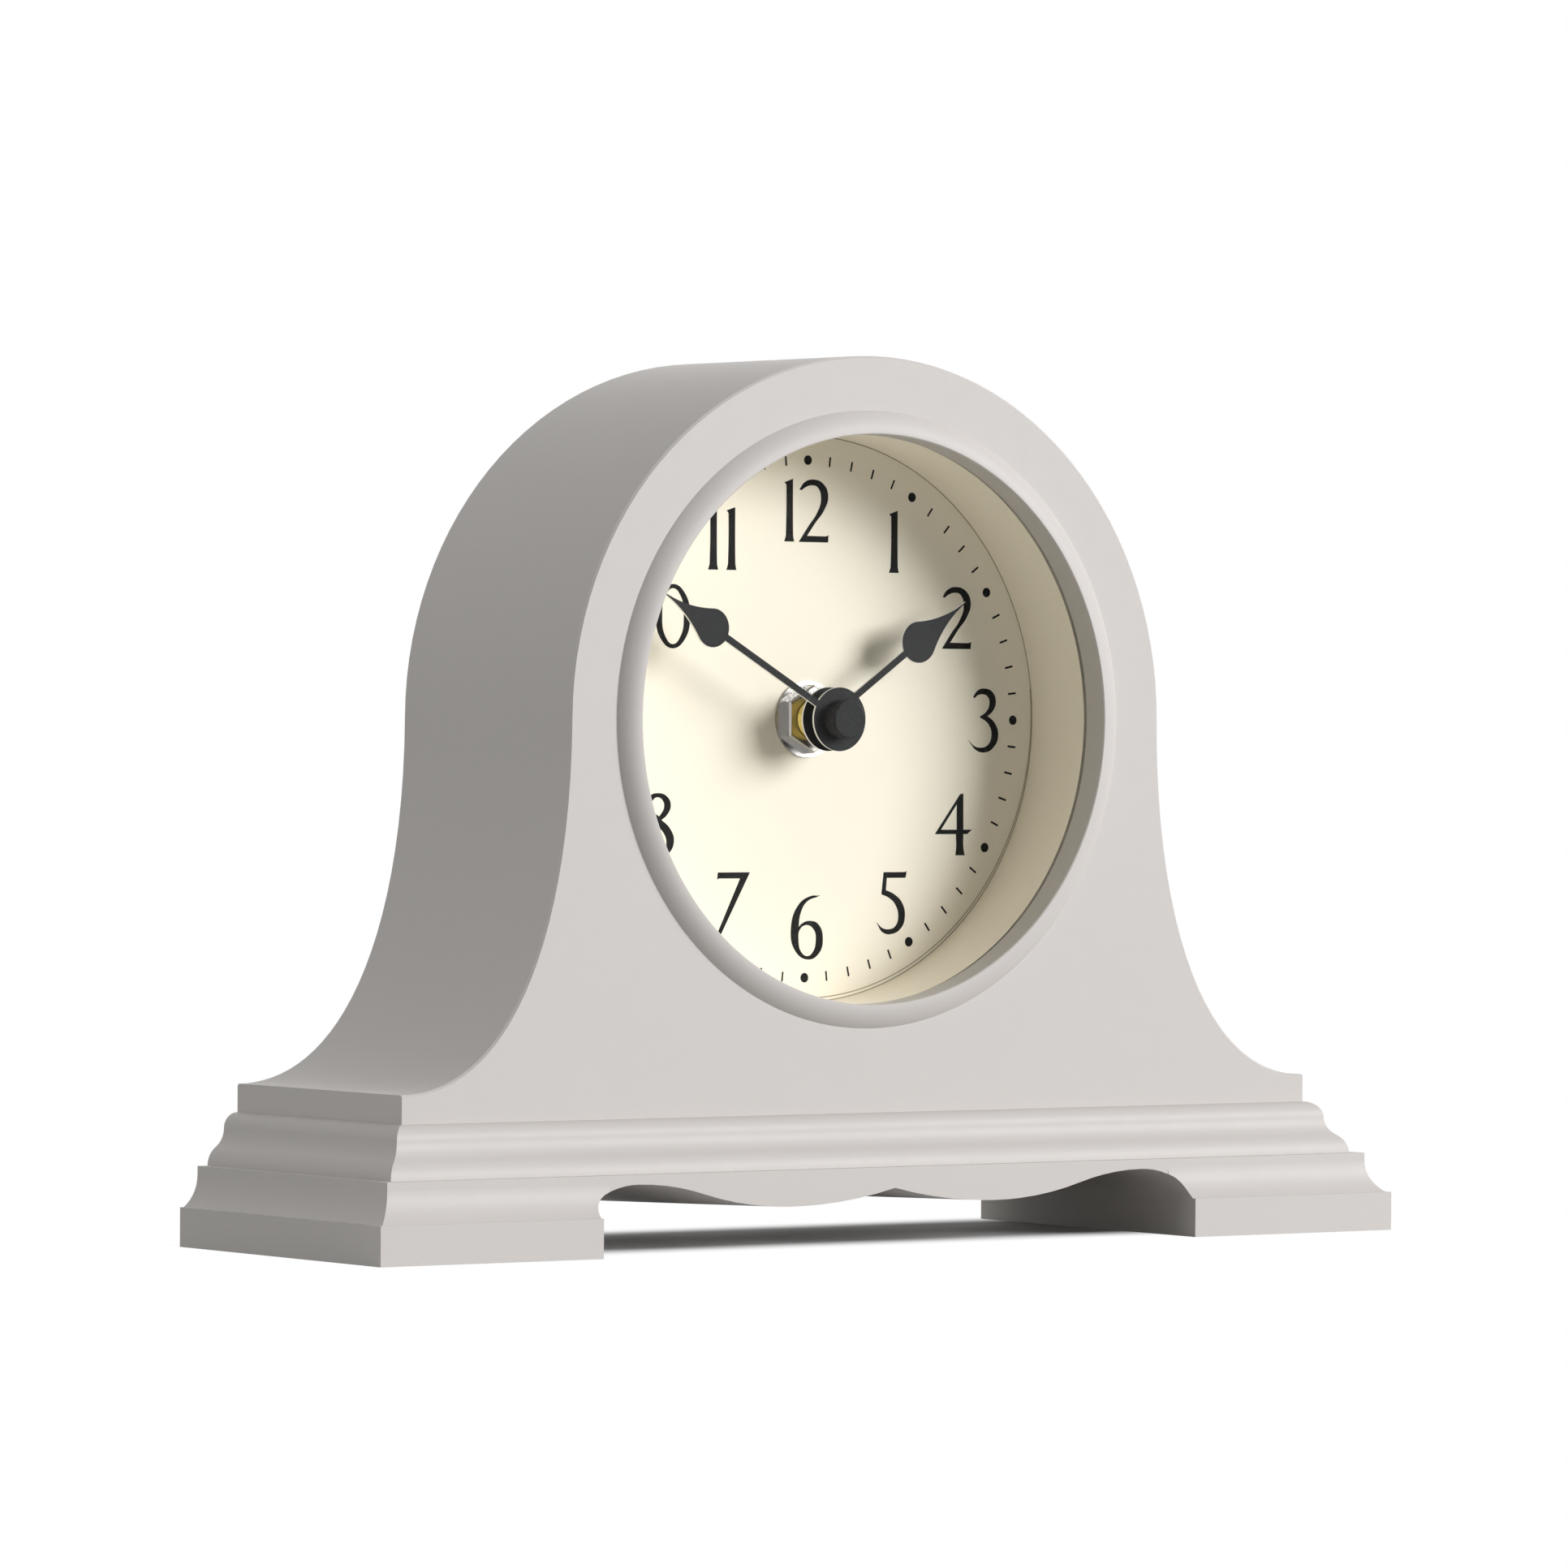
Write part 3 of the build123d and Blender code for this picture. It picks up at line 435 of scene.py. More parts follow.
# %% [markdown]
# ### Painted wood
# The case is wood sprayed with a warm white satin paint. Close up such paint has a very fine orange
# peel, and here it is only hundredths of a millimetre deep, so that it shows in the highlights and
# nowhere else.

# %% Paint and print colours
PAINT = srgb(197, 192, 189)
PAINT_PEEL = 0.006 * MM
DIAL_CREAM = srgb(252, 244, 227)
RING_CREAM = srgb(251, 243, 227)
keep(
    "case_paint",
    surface(
        "satin_paint", PAINT, 0.5, drift=0.02, grain=1400, coarse=260, depth=PAINT_PEEL,
        Specular_IOR_Level=0.4,
    ),
)
keep("dial_cream", surface("dial_paper", DIAL_CREAM, 0.75, drift=0.02, grain=2600, coarse=700))
keep("ring_cream", surface("ring_paper", RING_CREAM, 0.7, drift=0.02, grain=2200, coarse=600))

# %% [markdown]
# ### Black hands with bare edges
# Clock hands are punched from sheet metal that is already black on its faces. The punch leaves the
# edge bare, and that edge is the thin white line round each hub disc. Bare metal is lighter than the
# black faces, and the near-white colour it gets here is partly that tone and partly a painted highlight
# that stands for its glint, on every edge whichever way it faces. The finish finds the edge from the
# surface direction: a face looks along Y, and an edge doesn't.

# %% Hands
HAND_BLACK = srgb(53, 53, 54)
# Painted highlight: the near-white edge colour stands for the glint of bare metal as well as its own lighter
# tone.
BARE_EDGE_GLINT = srgb(236, 236, 234)
EDGE_BELOW = 0.5


def hand_finish(name, face, rough):
    material, tree, shader = surface(
        name, face, rough, drift=0.1, grain=1800, coarse=500, Specular_IOR_Level=0.05
    )
    facing = add(tree, "ShaderNodeTexCoord").outputs["Normal"]
    apart = add(tree, "ShaderNodeSeparateXYZ", {"Vector": facing})
    edge = maths(tree, "LESS_THAN", maths(tree, "ABSOLUTE", apart.outputs["Y"]), EDGE_BELOW)
    black = shader.inputs["Base Color"].links[0].from_socket
    # The edges take the near-white colour: the metal's own lighter tone plus a painted highlight.
    mixed = add(tree, "ShaderNodeMix", {"Factor": edge, "A": black, "B": BARE_EDGE_GLINT}, data_type="RGBA")
    tree.links.new(mixed.outputs["Result"], shader.inputs["Base Color"])
    return material, tree, shader


keep("hand_black", hand_finish("black_hand", HAND_BLACK, 0.6))
keep(
    "cap_black",
    surface("black_cap", HAND_BLACK, 0.6, drift=0.1, grain=1800, coarse=500, Specular_IOR_Level=0.05),
)

# %% [markdown]
# ### Bright metal
# The nut and washer are chromed, the threaded tube is turned brass, and the parts inside the movement
# are punched steel, nickel strip and zinc plate. They differ in colour and in how rough they are, and
# the turned ones have lathe lines round their own axis.

# %% Metals
def metal(name, colour, rough, turned=None, grain=1600, depth=0.004 * MM):
    return surface(name, colour, rough, drift=0.06, grain=grain, depth=depth, turned=turned, metal=1.0)


keep("bright_chrome", metal("bright_chrome", srgb(176, 174, 171), 0.22, turned=HAND_AXIS))
keep("turned_brass", metal("turned_brass", srgb(206, 184, 98), 0.25, turned=HAND_AXIS))
keep("motor_steel", metal("punched_steel", srgb(178, 178, 180), 0.32))
keep("crystal_can", metal("drawn_can", srgb(196, 196, 196), 0.22))
keep("contact_nickel", metal("nickel_strip", srgb(206, 202, 190), 0.25))
keep("screw_zinc", metal("zinc_plate", srgb(200, 196, 178), 0.3))
keep("magnet_rotor", metal("sintered_magnet", srgb(86, 86, 90), 0.5))

# %% [markdown]
# ### Moulded plastic, rubber and the small parts of the movement
# The movement is a black moulded box with natural nylon wheels. Its moulded grain is a little coarser
# than paint. The copper winding is one material with a ridge for each turn of wire.

# %% Plastics
MOULD_BLACK = srgb(38, 38, 40)
KNOB_GREY = srgb(84, 84, 88)
MOULD_GRAIN = 0.02 * MM
WIRE_PITCH = 0.25 * MM * math.tau

keep(
    "movement_black",
    surface("moulded_black", MOULD_BLACK, 0.5, drift=0.15, grain=2400, coarse=900, depth=MOULD_GRAIN),
)
keep("knob_grey", surface("knob_plastic", KNOB_GREY, 0.42, drift=0.1, grain=2000, coarse=700))
keep("wheel_nylon", surface("natural_nylon", srgb(236, 232, 218), 0.4, Subsurface_Weight=0.1))
keep("bobbin_white", surface("bobbin_plastic", srgb(240, 240, 236), 0.45))
keep("board_brown", surface("phenolic_board", srgb(150, 108, 62), 0.55, drift=0.2, drift_scale=160))
keep("chip_resin", surface("resin_drop", srgb(24, 24, 26), 0.18, drift=0.2))
keep("washer_rubber", surface("black_rubber", srgb(36, 36, 36), 0.8, drift=0.2, grain=1500))


def winding_finish(pitch):
    material, tree, shader = metal("copper_wire", srgb(196, 110, 64), 0.3)
    turns = add(
        tree,
        "ShaderNodeTexWave",
        {"Vector": about_axis(tree), "Scale": 1 / pitch, "Distortion": 0.0},
        bands_direction="X",
    )
    ridge = add(tree, "ShaderNodeBump", {"Height": turns.outputs[1], "Distance": pitch / 4})
    tree.links.new(ridge.outputs[0], shader.inputs["Normal"])
    return material, tree, shader


keep("copper_wire", winding_finish(WIRE_PITCH))

# %% [markdown]
# ### The lens
# The dial is covered by a clear disc. Real glass lets the lamps through, but a path tracer treats the
# shadow of a refracting solid as dark. The usual cure is to let such rays pass: the material mixes in
# a Transparent shader for shadow rays and diffuse rays. The index is lower than real glass has, which
# keeps the mirror image of the lamps as faint as it is in the photograph.

# %% Clear lens
LENS_INDEX = 1.1
LENS_TINT = (0.96, 0.97, 0.965, 1)

lens_finish, tree, shader = finish_for("clear_lens")
shader.inputs["Base Color"].default_value = WHITE
shader.inputs["Roughness"].default_value = 0.0
shader.inputs["IOR"].default_value = LENS_INDEX
shader.inputs["Transmission Weight"].default_value = 1.0
rays = add(tree, "ShaderNodeLightPath").outputs
passing = maths(tree, "MAXIMUM", rays["Is Shadow Ray"], rays["Is Diffuse Ray"])
clear = add(tree, "ShaderNodeBsdfTransparent", {"Color": LENS_TINT})
blend = add(tree, "ShaderNodeMixShader", {0: passing, 1: shader.outputs[0], 2: clear.outputs[0]})
tree.links.new(blend.outputs[0], tree.nodes["Material Output"].inputs["Surface"])
finishes["clear_lens"] = lens_finish

# %% [markdown]
# ### The cell's sleeve
# An AA cell is a steel can in a printed sleeve. Here the sleeve is a plain grey-green with two pale
# bands, and the finish knows where it is along the cell from the X coordinate.

# %% Sleeve
SLEEVE, PALE = srgb(52, 74, 66), srgb(206, 204, 190)
SLEEVE_BANDS = ((0.0, SLEEVE), (0.66, PALE), (0.69, SLEEVE), (0.71, PALE), (0.72, SLEEVE))
SLEEVE_CLOUD = 60.0
SLEEVE_DRIFT = 0.08

cell_finish, tree, shader = surface("cell_sleeve", SLEEVE, 0.35, drift=0.1, grain=900, coarse=300)
spot = add(tree, "ShaderNodeTexCoord").outputs["Object"]
apart = add(tree, "ShaderNodeSeparateXYZ", {"Vector": spot})
share = add(
    tree,
    "ShaderNodeMapRange",
    {"Value": apart.outputs["X"], "From Min": cell_low[0], "From Max": cell_high[0]},
)
bands = add(tree, "ShaderNodeValToRGB", {"Fac": share.outputs[0]})
bands.color_ramp.interpolation = "CONSTANT"
ramp = bands.color_ramp.elements
ramp[0].position, ramp[0].color = SLEEVE_BANDS[0]
ramp[1].position, ramp[1].color = SLEEVE_BANDS[-1]
for position, colour in SLEEVE_BANDS[1:-1]:
    ramp.new(position).color = colour
drifted = use_group(
    tree,
    tone_drift,
    {
        "Vector": spot,
        "Colour": bands.outputs["Color"],
        "Scale": SLEEVE_CLOUD,
        "Amount": SLEEVE_DRIFT,
    },
)
tree.links.new(drifted.outputs[0], shader.inputs["Base Color"])
finishes["cell_sleeve"] = cell_finish

# %% Give every solid its finish
for part in frame["record"]["subparts"]:
    mesh = nodes[part["node"]].data
    mesh.materials.clear()
    mesh.materials.append(finishes[part["material_slot"]])
print("finishes:", sorted(finishes))

# %% [markdown]
# ## Printing the dial
# The print on a clock dial is ink with no depth to speak of. It is still made as thin shapes here,
# not as a texture, because shapes stay sharp at any distance. The dots and strokes come from a loop
# round the dial: a dot at each hour, a stroke at each minute between.

# %% Minute strokes and hour dots
INK_DEPTH = 0.03 * MM
MARK_RADIUS = 50.0 * MM
DOT_RADIUS = 0.93 * MM
STROKE_LENGTH = 1.9 * MM
STROKE_WIDTH = 0.37 * MM
DOT_SIDES = 32
MINUTES = 60
SHARP_FROM = math.radians(32)

INK = srgb(24, 23, 22)
ink = surface(
    "printing_ink", INK, 0.6, drift=0.1, grain=2600, coarse=900, Specular_IOR_Level=0.05
)[0]


def on_dial(x, z, angle=0.0):
    """Matrix that lays a flat shape on the dial, at a place counted from the hand axis."""
    spin = Matrix.Rotation(angle, 4, "Y")
    lay = Matrix.Rotation(math.radians(90), 4, "X")
    spot = Matrix.Translation((axis_x + x, dial_front - INK_DEPTH / 2, axis_z + z))
    return spot @ spin @ lay


def piece_from(name, shape, material, body):
    """Turns a bmesh into a finished piece that rides on a body."""
    bmesh.ops.recalc_face_normals(shape, faces=shape.faces)
    mesh = bpy.data.meshes.new(name)
    shape.to_mesh(mesh)
    shape.free()
    mesh.materials.append(material)
    mesh.shade_smooth()
    mesh.set_sharp_from_angle(angle=SHARP_FROM)
    piece = bpy.data.objects.new(name, mesh)
    bpy.context.scene.collection.objects.link(piece)
    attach(piece, body)
    print(name, len(mesh.polygons), "faces")
    return piece


marks = bmesh.new()
for minute in range(MINUTES):
    angle = math.tau * minute / MINUTES
    where = on_dial(MARK_RADIUS * math.sin(angle), MARK_RADIUS * math.cos(angle), angle)
    if minute % 5 == 0:
        bmesh.ops.create_cone(
            marks,
            cap_ends=True,
            segments=DOT_SIDES,
            radius1=DOT_RADIUS,
            radius2=DOT_RADIUS,
            depth=INK_DEPTH,
            matrix=where,
        )
    else:
        size = Matrix.Diagonal((STROKE_WIDTH, STROKE_LENGTH, INK_DEPTH, 1))
        bmesh.ops.create_cube(marks, size=1.0, matrix=where @ size)
piece_from("dial_minute_marks", marks, ink, "clock_case")

# %% [markdown]
# ## The numbers
# The numbers are upright, with strokes that swell and thin like pen work and small flared feet. Each
# digit is a closed outline drawn on a grid of twelfths of its height, with its own middle at the
# origin. A point is round unless it is marked as a corner. Blender's Bezier curves fit the round
# stretches by themselves, so each outline needs only the points where its shape turns.

# %% Digit outlines
CORNER = True
DIGIT_GRID = 12
DIGITS = {
    "0": [
        [(0, 6.07), (2.75, 4.3), (3.88, 0), (2.75, -4.3), (0, -6.07), (-2.75, -4.3), (-3.88, 0), (-2.75, 4.3)],
        [(0, 5.42), (1.85, 3.85), (2.6, 0), (1.85, -3.85), (0, -5.42), (-1.85, -3.85), (-2.6, 0), (-1.85, 3.85)],
    ],
    "1": [
        [(0.9, 6.0, CORNER), (-0.9, 5.4, CORNER), (-0.5, 5.0, CORNER), (-0.45, 0), (-0.55, -4.9, CORNER),
         (-0.9, -5.9, CORNER), (1.25, -5.9, CORNER), (1.0, -4.9, CORNER), (0.92, 0)],
    ],
    "2": [
        [(-3.35, 4.15, CORNER), (-2.3, 5.4), (-0.1, 6.0), (2.3, 5.1), (3.3, 2.9), (2.4, 0.3), (0.2, -2.35),
         (-1.75, -4.9, CORNER), (2.9, -4.95, CORNER), (3.42, -4.75, CORNER), (3.36, -5.95, CORNER),
         (-3.42, -5.95, CORNER), (-1.1, -2.85), (0.75, -0.5), (1.76, 2.3), (0.95, 4.6), (-0.45, 5.03),
         (-1.9, 4.7), (-3.0, 4.05, CORNER)],
    ],
    "3": [
        [(-2.85, 4.75, CORNER), (-1.75, 5.95), (-0.3, 6.3), (1.75, 5.6), (2.53, 3.85), (1.75, 1.95),
         (0.4, 1.0, CORNER), (2.2, -0.3), (3.15, -2.6), (2.2, -4.95), (-0.2, -6.08), (-2.4, -5.45),
         (-3.4, -4.4, CORNER), (-2.7, -4.95), (-1.2, -5.3), (0.7, -4.8), (1.68, -2.8), (0.9, -0.55),
         (-1.22, 0.8, CORNER), (0.4, 1.85), (1.15, 3.6), (0.6, 4.9), (-0.6, 5.33), (-1.9, 5.1),
         (-2.65, 4.55, CORNER)],
    ],
    "4": [
        [(2.34, 6.0, CORNER), (1.7, 5.92, CORNER), (-4.3, -1.76, CORNER), (0.75, -1.76, CORNER), (0.82, -4.6),
         (0.65, -5.92, CORNER), (2.72, -5.92, CORNER), (2.45, -4.6), (2.4, -1.76, CORNER), (3.4, -1.76, CORNER),
         (4.32, -1.06, CORNER), (2.4, -1.06, CORNER)],
        [(0.9, 4.2, CORNER), (0.93, -1.06, CORNER), (-3.14, -1.06, CORNER)],
    ],
    "5": [
        [(-2.02, 5.92, CORNER), (3.0, 5.92, CORNER), (3.36, 6.05, CORNER), (3.14, 4.96, CORNER),
         (-1.38, 4.96, CORNER), (-1.6, 2.46, CORNER), (0.6, 1.55), (2.4, -0.1), (3.05, -2.5), (2.2, -4.8),
         (-0.3, -6.0), (-2.3, -5.55), (-3.38, -4.15, CORNER), (-2.5, -4.85), (-0.9, -5.2), (0.85, -4.6),
         (1.6, -2.5), (0.85, -0.3), (-0.6, 1.0), (-2.5, 1.76, CORNER)],
    ],
    "6": [
        [(2.66, 6.08, CORNER), (0.9, 6.0), (-2.0, 4.3), (-3.7, -0.3), (-2.7, -4.4), (0.3, -6.12), (2.85, -5.0),
         (3.77, -2.3), (2.75, 0.5), (0.7, 1.2), (-1.1, 0.72), (-2.05, -0.1, CORNER), (-1.6, 2.7), (-0.2, 4.95)],
        [(-1.75, -0.4), (-0.1, 0.55), (1.75, -0.4), (2.25, -2.3), (1.5, -4.85), (0.15, -5.6), (-1.4, -4.7),
         (-2.03, -2.4)],
    ],
    "7": [
        [(-3.36, 5.86, CORNER), (4.0, 5.86, CORNER), (-2.7, -6.0, CORNER), (-3.35, -5.75, CORNER),
         (1.98, 4.86, CORNER), (-3.2, 4.86, CORNER), (-3.46, 4.7, CORNER)],
    ],
    "8": [
        [(0.2, 6.1), (2.45, 5.3), (3.1, 3.8), (2.3, 2.1), (0.9, 1.05, CORNER), (2.9, -0.55), (3.9, -2.9),
         (2.7, -5.3), (0.1, -6.1), (-2.6, -5.2), (-3.5, -3.0), (-2.5, -0.7), (-0.75, 0.55, CORNER), (-2.1, 1.8),
         (-2.7, 3.7), (-1.9, 5.4)],
        [(0.2, 5.45), (1.45, 4.7), (1.7, 3.4), (0.55, 1.6, CORNER), (-0.9, 2.6), (-1.35, 4.1), (-0.8, 5.1)],
        [(-0.3, 0.2, CORNER), (1.6, -1.4), (2.3, -3.2), (1.6, -4.9), (0.1, -5.5), (-1.5, -4.8), (-2.1, -3.0),
         (-1.5, -1.2)],
    ],
}
DIGITS["9"] = [[(-point[0], -point[1], *point[2:]) for point in outline] for outline in DIGITS["6"]]

# %% [markdown]
# The outlines become filled flat curves, the curves become meshes, and each mesh is laid on the dial
# at its number's place. Only then is everything joined, so that the finished piece sits at the origin
# with its place in its mesh.

# %% Numbers on the dial
DIGIT_HEIGHT = 12.0 * MM
DIGIT_SWELL = 0.08 * MM
CURVE_STEPS = 10
NUMBERS = (
    ("1", -4.5, 40.2), ("2", 1.5, 40.2),
    ("1", 20.6, 34.5),
    ("2", 36.1, 19.9),
    ("3", 43.2, -0.2),
    ("4", 35.6, -20.5),
    ("5", 20.9, -35.7),
    ("6", 0.5, -40.3),
    ("7", -17.2, -35.5),
    ("8", -34.9, -20.5),
    ("9", -42.6, -0.2),
    ("1", -38.0, 19.5), ("0", -31.5, 19.5),
    ("1", -22.4, 34.5), ("1", -18.1, 34.5),
)


def flat_mesh(name, outlines, grid, depth, swell=0.0):
    """Filled mesh of closed outlines, drawn on a grid of the given size and centred in depth."""
    curve = bpy.data.curves.new(name, "CURVE")
    curve.dimensions = "2D"
    curve.fill_mode = "BOTH"
    curve.resolution_u = CURVE_STEPS
    curve.extrude = depth / 2
    curve.offset = swell
    for outline in outlines:
        spline = curve.splines.new("BEZIER")
        spline.bezier_points.add(len(outline) - 1)
        spline.use_cyclic_u = True
        for knot, point in zip(spline.bezier_points, outline):
            knot.co = (point[0] * grid, point[1] * grid, 0)
            bend = "VECTOR" if len(point) > 2 else "AUTO"
            knot.handle_left_type = bend
            knot.handle_right_type = bend
    drawing = bpy.data.objects.new(name, curve)
    mesh = bpy.data.meshes.new_from_object(drawing)
    bpy.data.objects.remove(drawing)
    return mesh


def add_flat(shape, mesh, where):
    """Adds a flat mesh to a bmesh at its place."""
    before = set(shape.verts)
    shape.from_mesh(mesh)
    fresh = [vertex for vertex in shape.verts if vertex not in before]
    bmesh.ops.remove_doubles(shape, verts=fresh, dist=INK_DEPTH / 100)
    fresh = [vertex for vertex in shape.verts if vertex not in before]
    bmesh.ops.transform(shape, matrix=where, verts=fresh)


digit_meshes = {
    digit: flat_mesh("digit_" + digit, outlines, DIGIT_HEIGHT / DIGIT_GRID, INK_DEPTH, DIGIT_SWELL)
    for digit, outlines in DIGITS.items()
}
numbers = bmesh.new()
for digit, x, z in NUMBERS:
    add_flat(numbers, digit_meshes[digit], on_dial(x * MM, z * MM))
piece_from("dial_numbers", numbers, ink, "clock_case")

# %% [markdown]
# ## The edge of the dial
# The dial lies at the bottom of a shallow well. Where the well's wall meets the dial there is a narrow
# gap, and low down the edge of the printed paper makes a small step, because the paper sits a little
# high. Each throws a fine line of shade. A real gap this narrow would be lost between two pixels, so
# each line of shade is painted instead: a thin dark ring, a small rectangle spun round an axis. A part
# turn starts from a filled rectangle, so that both its ends are closed.

# %% Spinning helper
TURN_STEPS = 192
WELD = 0.0005 * MM


def spun(profile, steps=TURN_STEPS, axis=(0, 1, 0), centre=HAND_AXIS, sweep=math.tau, closed=True):
    """A profile of points spun round an axis, once or for a part of a turn."""
    shape = bmesh.new()
    points = [shape.verts.new(point) for point in profile]
    followers = points[1:] + points[:1] if closed else points[1:]
    edges = [shape.edges.new(pair) for pair in zip(points, followers)]
    whole = sweep >= math.tau
    filled = [] if whole else [shape.faces.new(points)]
    bmesh.ops.spin(
        shape,
        geom=points + edges + filled,
        cent=centre,
        axis=axis,
        angle=sweep,
        steps=steps,
        use_merge=whole,
        use_duplicate=False,
    )
    bmesh.ops.remove_doubles(shape, verts=shape.verts, dist=WELD)
    return shape


def ring_section(inner, outer, front, behind, angle=0.0, lift=0.0, about=HAND_AXIS):
    """Four corners of a rectangle that lies on a ray from an axis along Y."""
    ray = Vector((math.cos(angle), 0, math.sin(angle)))
    middle = Vector((about[0], 0, about[2] + lift))
    corners = ((inner, front), (outer, front), (outer, behind), (inner, behind))
    return [middle + ray * radius + Vector((0, depth, 0)) for radius, depth in corners]


# %% Painted shadow lines at the joint and the paper edge
WELL_RADIUS = 54.8 * MM
JOINT_WIDTH = 0.2 * MM
PAPER_RADIUS = 54.6 * MM
PAPER_EDGE = 0.22 * MM
PAPER_LIFT = 0.5 * MM
PAPER_START = math.radians(6)

# Painted shadow: a darker cream ring stands for the line of shade in the gap and along the paper's step.
GAP_SHADOW_COLOUR = srgb(176, 166, 141)
painted_gap_shadow = surface("painted_gap_shadow", GAP_SHADOW_COLOUR, 0.8, drift=0.05, grain=2600, coarse=700)[0]
section = ring_section(WELL_RADIUS - JOINT_WIDTH, WELL_RADIUS, dial_front - INK_DEPTH, dial_front)
piece_from("dial_gap_shadow", spun(section), painted_gap_shadow, "clock_case")
section = ring_section(
    PAPER_RADIUS - PAPER_EDGE,
    PAPER_RADIUS,
    dial_front - INK_DEPTH,
    dial_front,
    PAPER_START,
    PAPER_LIFT,
)
paper_middle = (axis_x, 0, axis_z + PAPER_LIFT)
paper_edge = spun(section, centre=paper_middle, sweep=math.pi + 2 * PAPER_START)
piece_from("dial_paper_edge_shadow", paper_edge, painted_gap_shadow, "clock_case")

# %% [markdown]
# ## The bezel
# The bezel is a turned wooden ring. Its face rises from the case in a soft slope and ends in a crisp
# inner edge over the glass. The slope is one Bezier curve: it leaves the crest level and meets the case
# at a slant, so that all of it can be seen from the far side of the dial too. It takes the place of the
# solid, which has a plainer section and stands a few tenths of a millimetre prouder.

# %% Turned bezel
BEZEL_INNER = 54.5 * MM
BEZEL_OUTER = 59.1 * MM
BEZEL_RISE = 2.2 * MM
BEZEL_ROUND = 0.2 * MM
BEZEL_LEVEL = 1.9 * MM
BEZEL_SLANT = Vector((1.0, 1.15)) * MM
SPIGOT_RADIUS = 57.35 * MM
SLOPE_STEPS = 24

case_front = case_low[1]
crest = Vector((BEZEL_INNER + BEZEL_ROUND, case_front - BEZEL_RISE))
foot = Vector((BEZEL_OUTER, case_front))
slope = interpolate_bezier(
    crest, crest + Vector((BEZEL_LEVEL, 0)), foot - BEZEL_SLANT, foot, SLOPE_STEPS
)
profile = [(BEZEL_INNER, bezel_high[1]), (BEZEL_INNER, crest.y + BEZEL_ROUND), *slope]
profile += [(SPIGOT_RADIUS, case_front), (SPIGOT_RADIUS, bezel_high[1])]
bezel = piece_from(
    "turned_bezel",
    spun([(axis_x + radius, depth, axis_z) for radius, depth in profile]),
    finishes["case_paint"],
    "clock_case",
)
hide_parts("bezel")

# %% [markdown]
# ## The threaded bushing
# The dial is clamped by a nut on the movement's threaded tube. The solid is a plain tube, so the thread
# is turned here: a zigzag profile is spun round the hand axis. At this size the thread's slope can't
# be seen, so rings stand for it. The new tube takes the solid's place.

# %% Threaded bushing
THREAD_PITCH = 0.75 * MM
THREAD_DEPTH = 0.32 * MM
TUBE_RADIUS = 4.0 * MM
TUBE_BORE = 2.55 * MM
FLANGE_RADIUS = (bushing_high[0] - bushing_low[0]) / 2
FLANGE_DEPTH = 0.8 * MM


def thread(radius, depth, pitch, start, end):
    """Zigzag of a screw thread as (radius, place) points."""
    turns = int((end - start) / pitch)
    points = []
    for count in range(turns):
        ridge = start + (count + 0.5) * pitch
        points += [(radius, ridge), (radius - depth, ridge + pitch / 2)]
    return points


tube_front = bushing_low[1]
tube_back = bushing_high[1]
thread_end = tube_back - FLANGE_DEPTH
profile = [(TUBE_BORE, tube_front), (TUBE_RADIUS - THREAD_DEPTH, tube_front)]
profile += thread(TUBE_RADIUS, THREAD_DEPTH, THREAD_PITCH, tube_front, thread_end)
profile += [
    (TUBE_RADIUS, thread_end),
    (FLANGE_RADIUS, thread_end),
    (FLANGE_RADIUS, tube_back),
    (TUBE_BORE, tube_back),
]
bushing = piece_from(
    "threaded_bushing",
    spun([(axis_x + radius, depth, axis_z) for radius, depth in profile]),
    finishes["turned_brass"],
    "clock_case",
)
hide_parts("bushing")

# %% [markdown]
# ## The cell
# The solid of the cell is a plain cylinder with a nub. A real one is a drawn steel can with a dished
# bottom, a rolled shoulder and a pressed nub, and a thin sleeve that is shrunk over the shoulder. Both
# are spun round the cell's own axis. The can's profile starts and ends on the axis, so it stays open and
# closes itself at the two poles.

# %% Can and sleeve
CELL_STEPS = 96
CAN_PROFILE = (
    (0.3, 0.0), (0.3, 4.0), (0.0, 4.5), (0.0, 6.1), (0.12, 6.5), (0.55, 6.9), (48.75, 6.9), (49.18, 6.5),
    (49.3, 6.1), (49.3, 3.7), (49.05, 3.3), (49.05, 2.75), (50.2, 2.75), (50.42, 2.6), (50.5, 2.3), (50.5, 0.0),
)
SLEEVE_PROFILE = (
    (0.42, 6.78), (0.5, 7.05), (0.8, 7.25), (48.5, 7.25), (48.8, 7.05), (48.88, 6.78), (48.6, 6.9), (0.7, 6.9),
)
cell_axis = (0, (cell_low[1] + cell_high[1]) / 2, (cell_low[2] + cell_high[2]) / 2)


def spun_on_cell(profile, closed):
    """Profile of (place along the cell, radius) in millimetres, spun round the cell's axis."""
    points = [
        (cell_low[0] + along * MM, cell_axis[1] + radius * MM, cell_axis[2])
        for along, radius in profile
    ]
    return spun(points, CELL_STEPS, axis=(1, 0, 0), centre=cell_axis, closed=closed)


can = piece_from(
    "cell_can",
    spun_on_cell(CAN_PROFILE, False),
    finishes["contact_nickel"],
    "battery_cell",
)
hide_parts("battery")
piece_from("cell_wrap", spun_on_cell(SLEEVE_PROFILE, True), cell_finish, "battery_cell")

# %% [markdown]
# ## The base screws
# Four countersunk screws hold the base on from below. The solids are plain pins with a cone, and here
# they get a thread and a cross recess. A recess could be cut with a Boolean modifier, but there is a
# plainer way: the head is spun with a round pocket, and the pocket is filled by a plate with a
# cross-shaped hole.

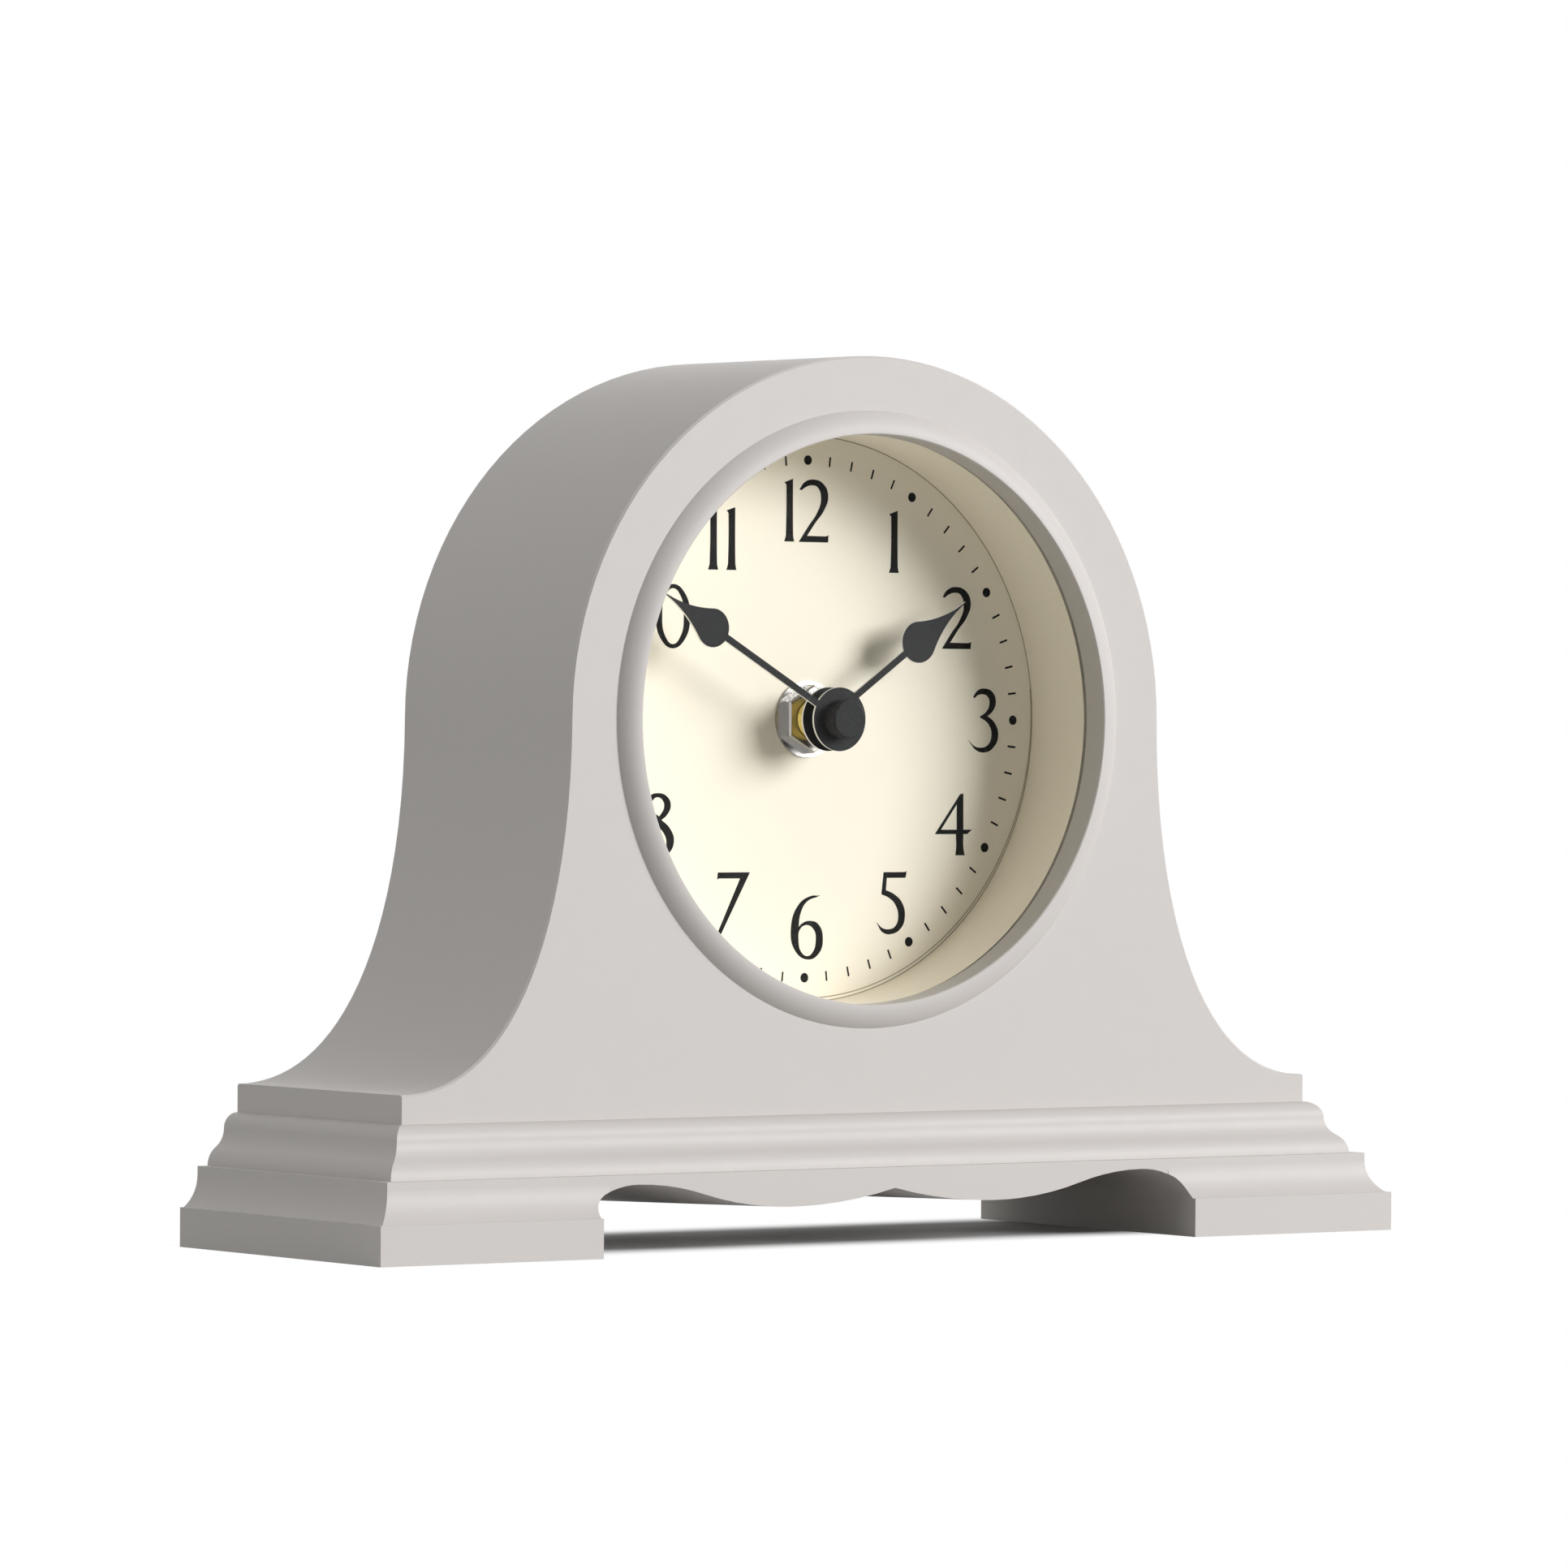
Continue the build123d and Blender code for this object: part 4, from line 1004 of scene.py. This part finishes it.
# %% Cross-head screws
HEAD_RADIUS = 4.0 * MM
HEAD_HEIGHT = 2.2 * MM
SHANK_RADIUS = 2.0 * MM
SCREW_PITCH = 1.5 * MM
SCREW_DEPTH = 0.45 * MM
PLAIN_SHANK = 9.0 * MM
POINT_LENGTH = 4.0 * MM
POCKET_RADIUS = 2.7 * MM
POCKET_DEPTH = 0.9 * MM
SCREW_STEPS = 48
CROSS_GRID = 0.42 * MM
DISC_POINTS = 16
CROSS = [
    (1, 5), (1, 1), (5, 1), (5, -1), (1, -1), (1, -5),
    (-1, -5), (-1, -1), (-5, -1), (-5, 1), (-1, 1), (-1, 5),
]

screw_length = screws_high[2] - screws_low[2]
head = screws_low[2]
profile = [(0, POCKET_DEPTH), (POCKET_RADIUS, POCKET_DEPTH), (POCKET_RADIUS, 0), (HEAD_RADIUS, 0)]
profile += [(SHANK_RADIUS, HEAD_HEIGHT), (SHANK_RADIUS, PLAIN_SHANK)]
profile += [(SHANK_RADIUS - SCREW_DEPTH, PLAIN_SHANK)]
profile += thread(SHANK_RADIUS, SCREW_DEPTH, SCREW_PITCH, PLAIN_SHANK, screw_length - POINT_LENGTH)
profile += [(0, screw_length)]
rim = POCKET_RADIUS / CROSS_GRID
turns = [math.tau * step / DISC_POINTS for step in range(DISC_POINTS)]
disc = [(math.cos(turn) * rim, math.sin(turn) * rim) for turn in turns]
plate_outline = [disc, [(x, y, CORNER) for x, y in CROSS]]
plate = flat_mesh("screw_plate", plate_outline, CROSS_GRID, POCKET_DEPTH)
screws = bmesh.new()
for x in (screws_low[0] + HEAD_RADIUS, screws_high[0] - HEAD_RADIUS):
    for y in (screws_low[1] + HEAD_RADIUS, screws_high[1] - HEAD_RADIUS):
        turned = spun(
            [(x + radius, y, head + height) for radius, height in profile],
            SCREW_STEPS,
            axis=(0, 0, 1),
            centre=(x, y, 0),
            closed=False,
        )
        bmesh.ops.recalc_face_normals(turned, faces=turned.faces)
        pin = bpy.data.meshes.new("screw_pin")
        turned.to_mesh(pin)
        turned.free()
        screws.from_mesh(pin)
        add_flat(screws, plate, Matrix.Translation((x, y, head + POCKET_DEPTH / 2)))
screw_piece = piece_from(
    "cross_head_screws", screws, finishes["screw_zinc"], "clock_case"
)
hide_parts("base_screws")

# %% [markdown]
# ## Marks on the movement
# The cover of a battery movement is moulded with a few raised marks: a curved arrow round the setting
# knob, and a plus and a minus beside the cell's ends. The arrow's bar is a rectangle spun for a third of
# a turn, and its head is a cone with three sides and no taper.

# %% Arrow, plus and minus
MARK_RAISE = 0.3 * MM
MARK_ROOT = 0.05 * MM
ARROW_RADIUS = 8.4 * MM
ARROW_WIDTH = 0.7 * MM
ARROW_HEAD = 1.3 * MM
ARROW_START = math.radians(150)
ARROW_SWEEP = math.radians(115)
ARROW_STEPS = 32
ARROW_SIDES = 3
SIGN_GRID = 0.36 * MM
SIGN_INSET = 3.6 * MM
PLUS = [
    (1, 3), (1, 1), (3, 1), (3, -1), (1, -1), (1, -3),
    (-1, -3), (-1, -1), (-3, -1), (-3, 1), (-1, 1), (-1, 3),
]
MINUS = [(3, 1), (3, -1), (-3, -1), (-3, 1)]

cover_back = cover_high[1]
mark_depth = MARK_RAISE + MARK_ROOT
mark_middle = cover_back + (MARK_RAISE - MARK_ROOT) / 2
section = ring_section(
    ARROW_RADIUS - ARROW_WIDTH / 2,
    ARROW_RADIUS + ARROW_WIDTH / 2,
    cover_back - MARK_ROOT,
    cover_back + MARK_RAISE,
    ARROW_START,
    about=KNOB_AXIS,
)
cover_marks = spun(section, centre=KNOB_AXIS, sweep=ARROW_SWEEP, steps=ARROW_STEPS)
tip_angle = ARROW_START - ARROW_SWEEP
tip = Vector((KNOB_AXIS[0], mark_middle, KNOB_AXIS[2]))
tip += Vector((math.cos(tip_angle), 0, math.sin(tip_angle))) * ARROW_RADIUS
flat_on_cover = Matrix.Rotation(math.radians(90), 4, "X")
bmesh.ops.create_cone(
    cover_marks,
    cap_ends=True,
    segments=ARROW_SIDES,
    radius1=ARROW_HEAD,
    radius2=ARROW_HEAD,
    depth=mark_depth,
    matrix=Matrix.Translation(tip) @ Matrix.Rotation(math.pi - tip_angle, 4, "Y") @ flat_on_cover,
)
for outline, x in ((PLUS, cover_high[0] - SIGN_INSET), (MINUS, cover_low[0] + SIGN_INSET)):
    sign = flat_mesh("polarity", [[(*point, CORNER) for point in outline]], SIGN_GRID, mark_depth)
    spot = Matrix.Translation((x, mark_middle, cover_low[2] + SIGN_INSET))
    add_flat(cover_marks, sign, spot @ flat_on_cover)
piece_from("cover_marks", cover_marks, finishes["movement_black"], "clock_case")
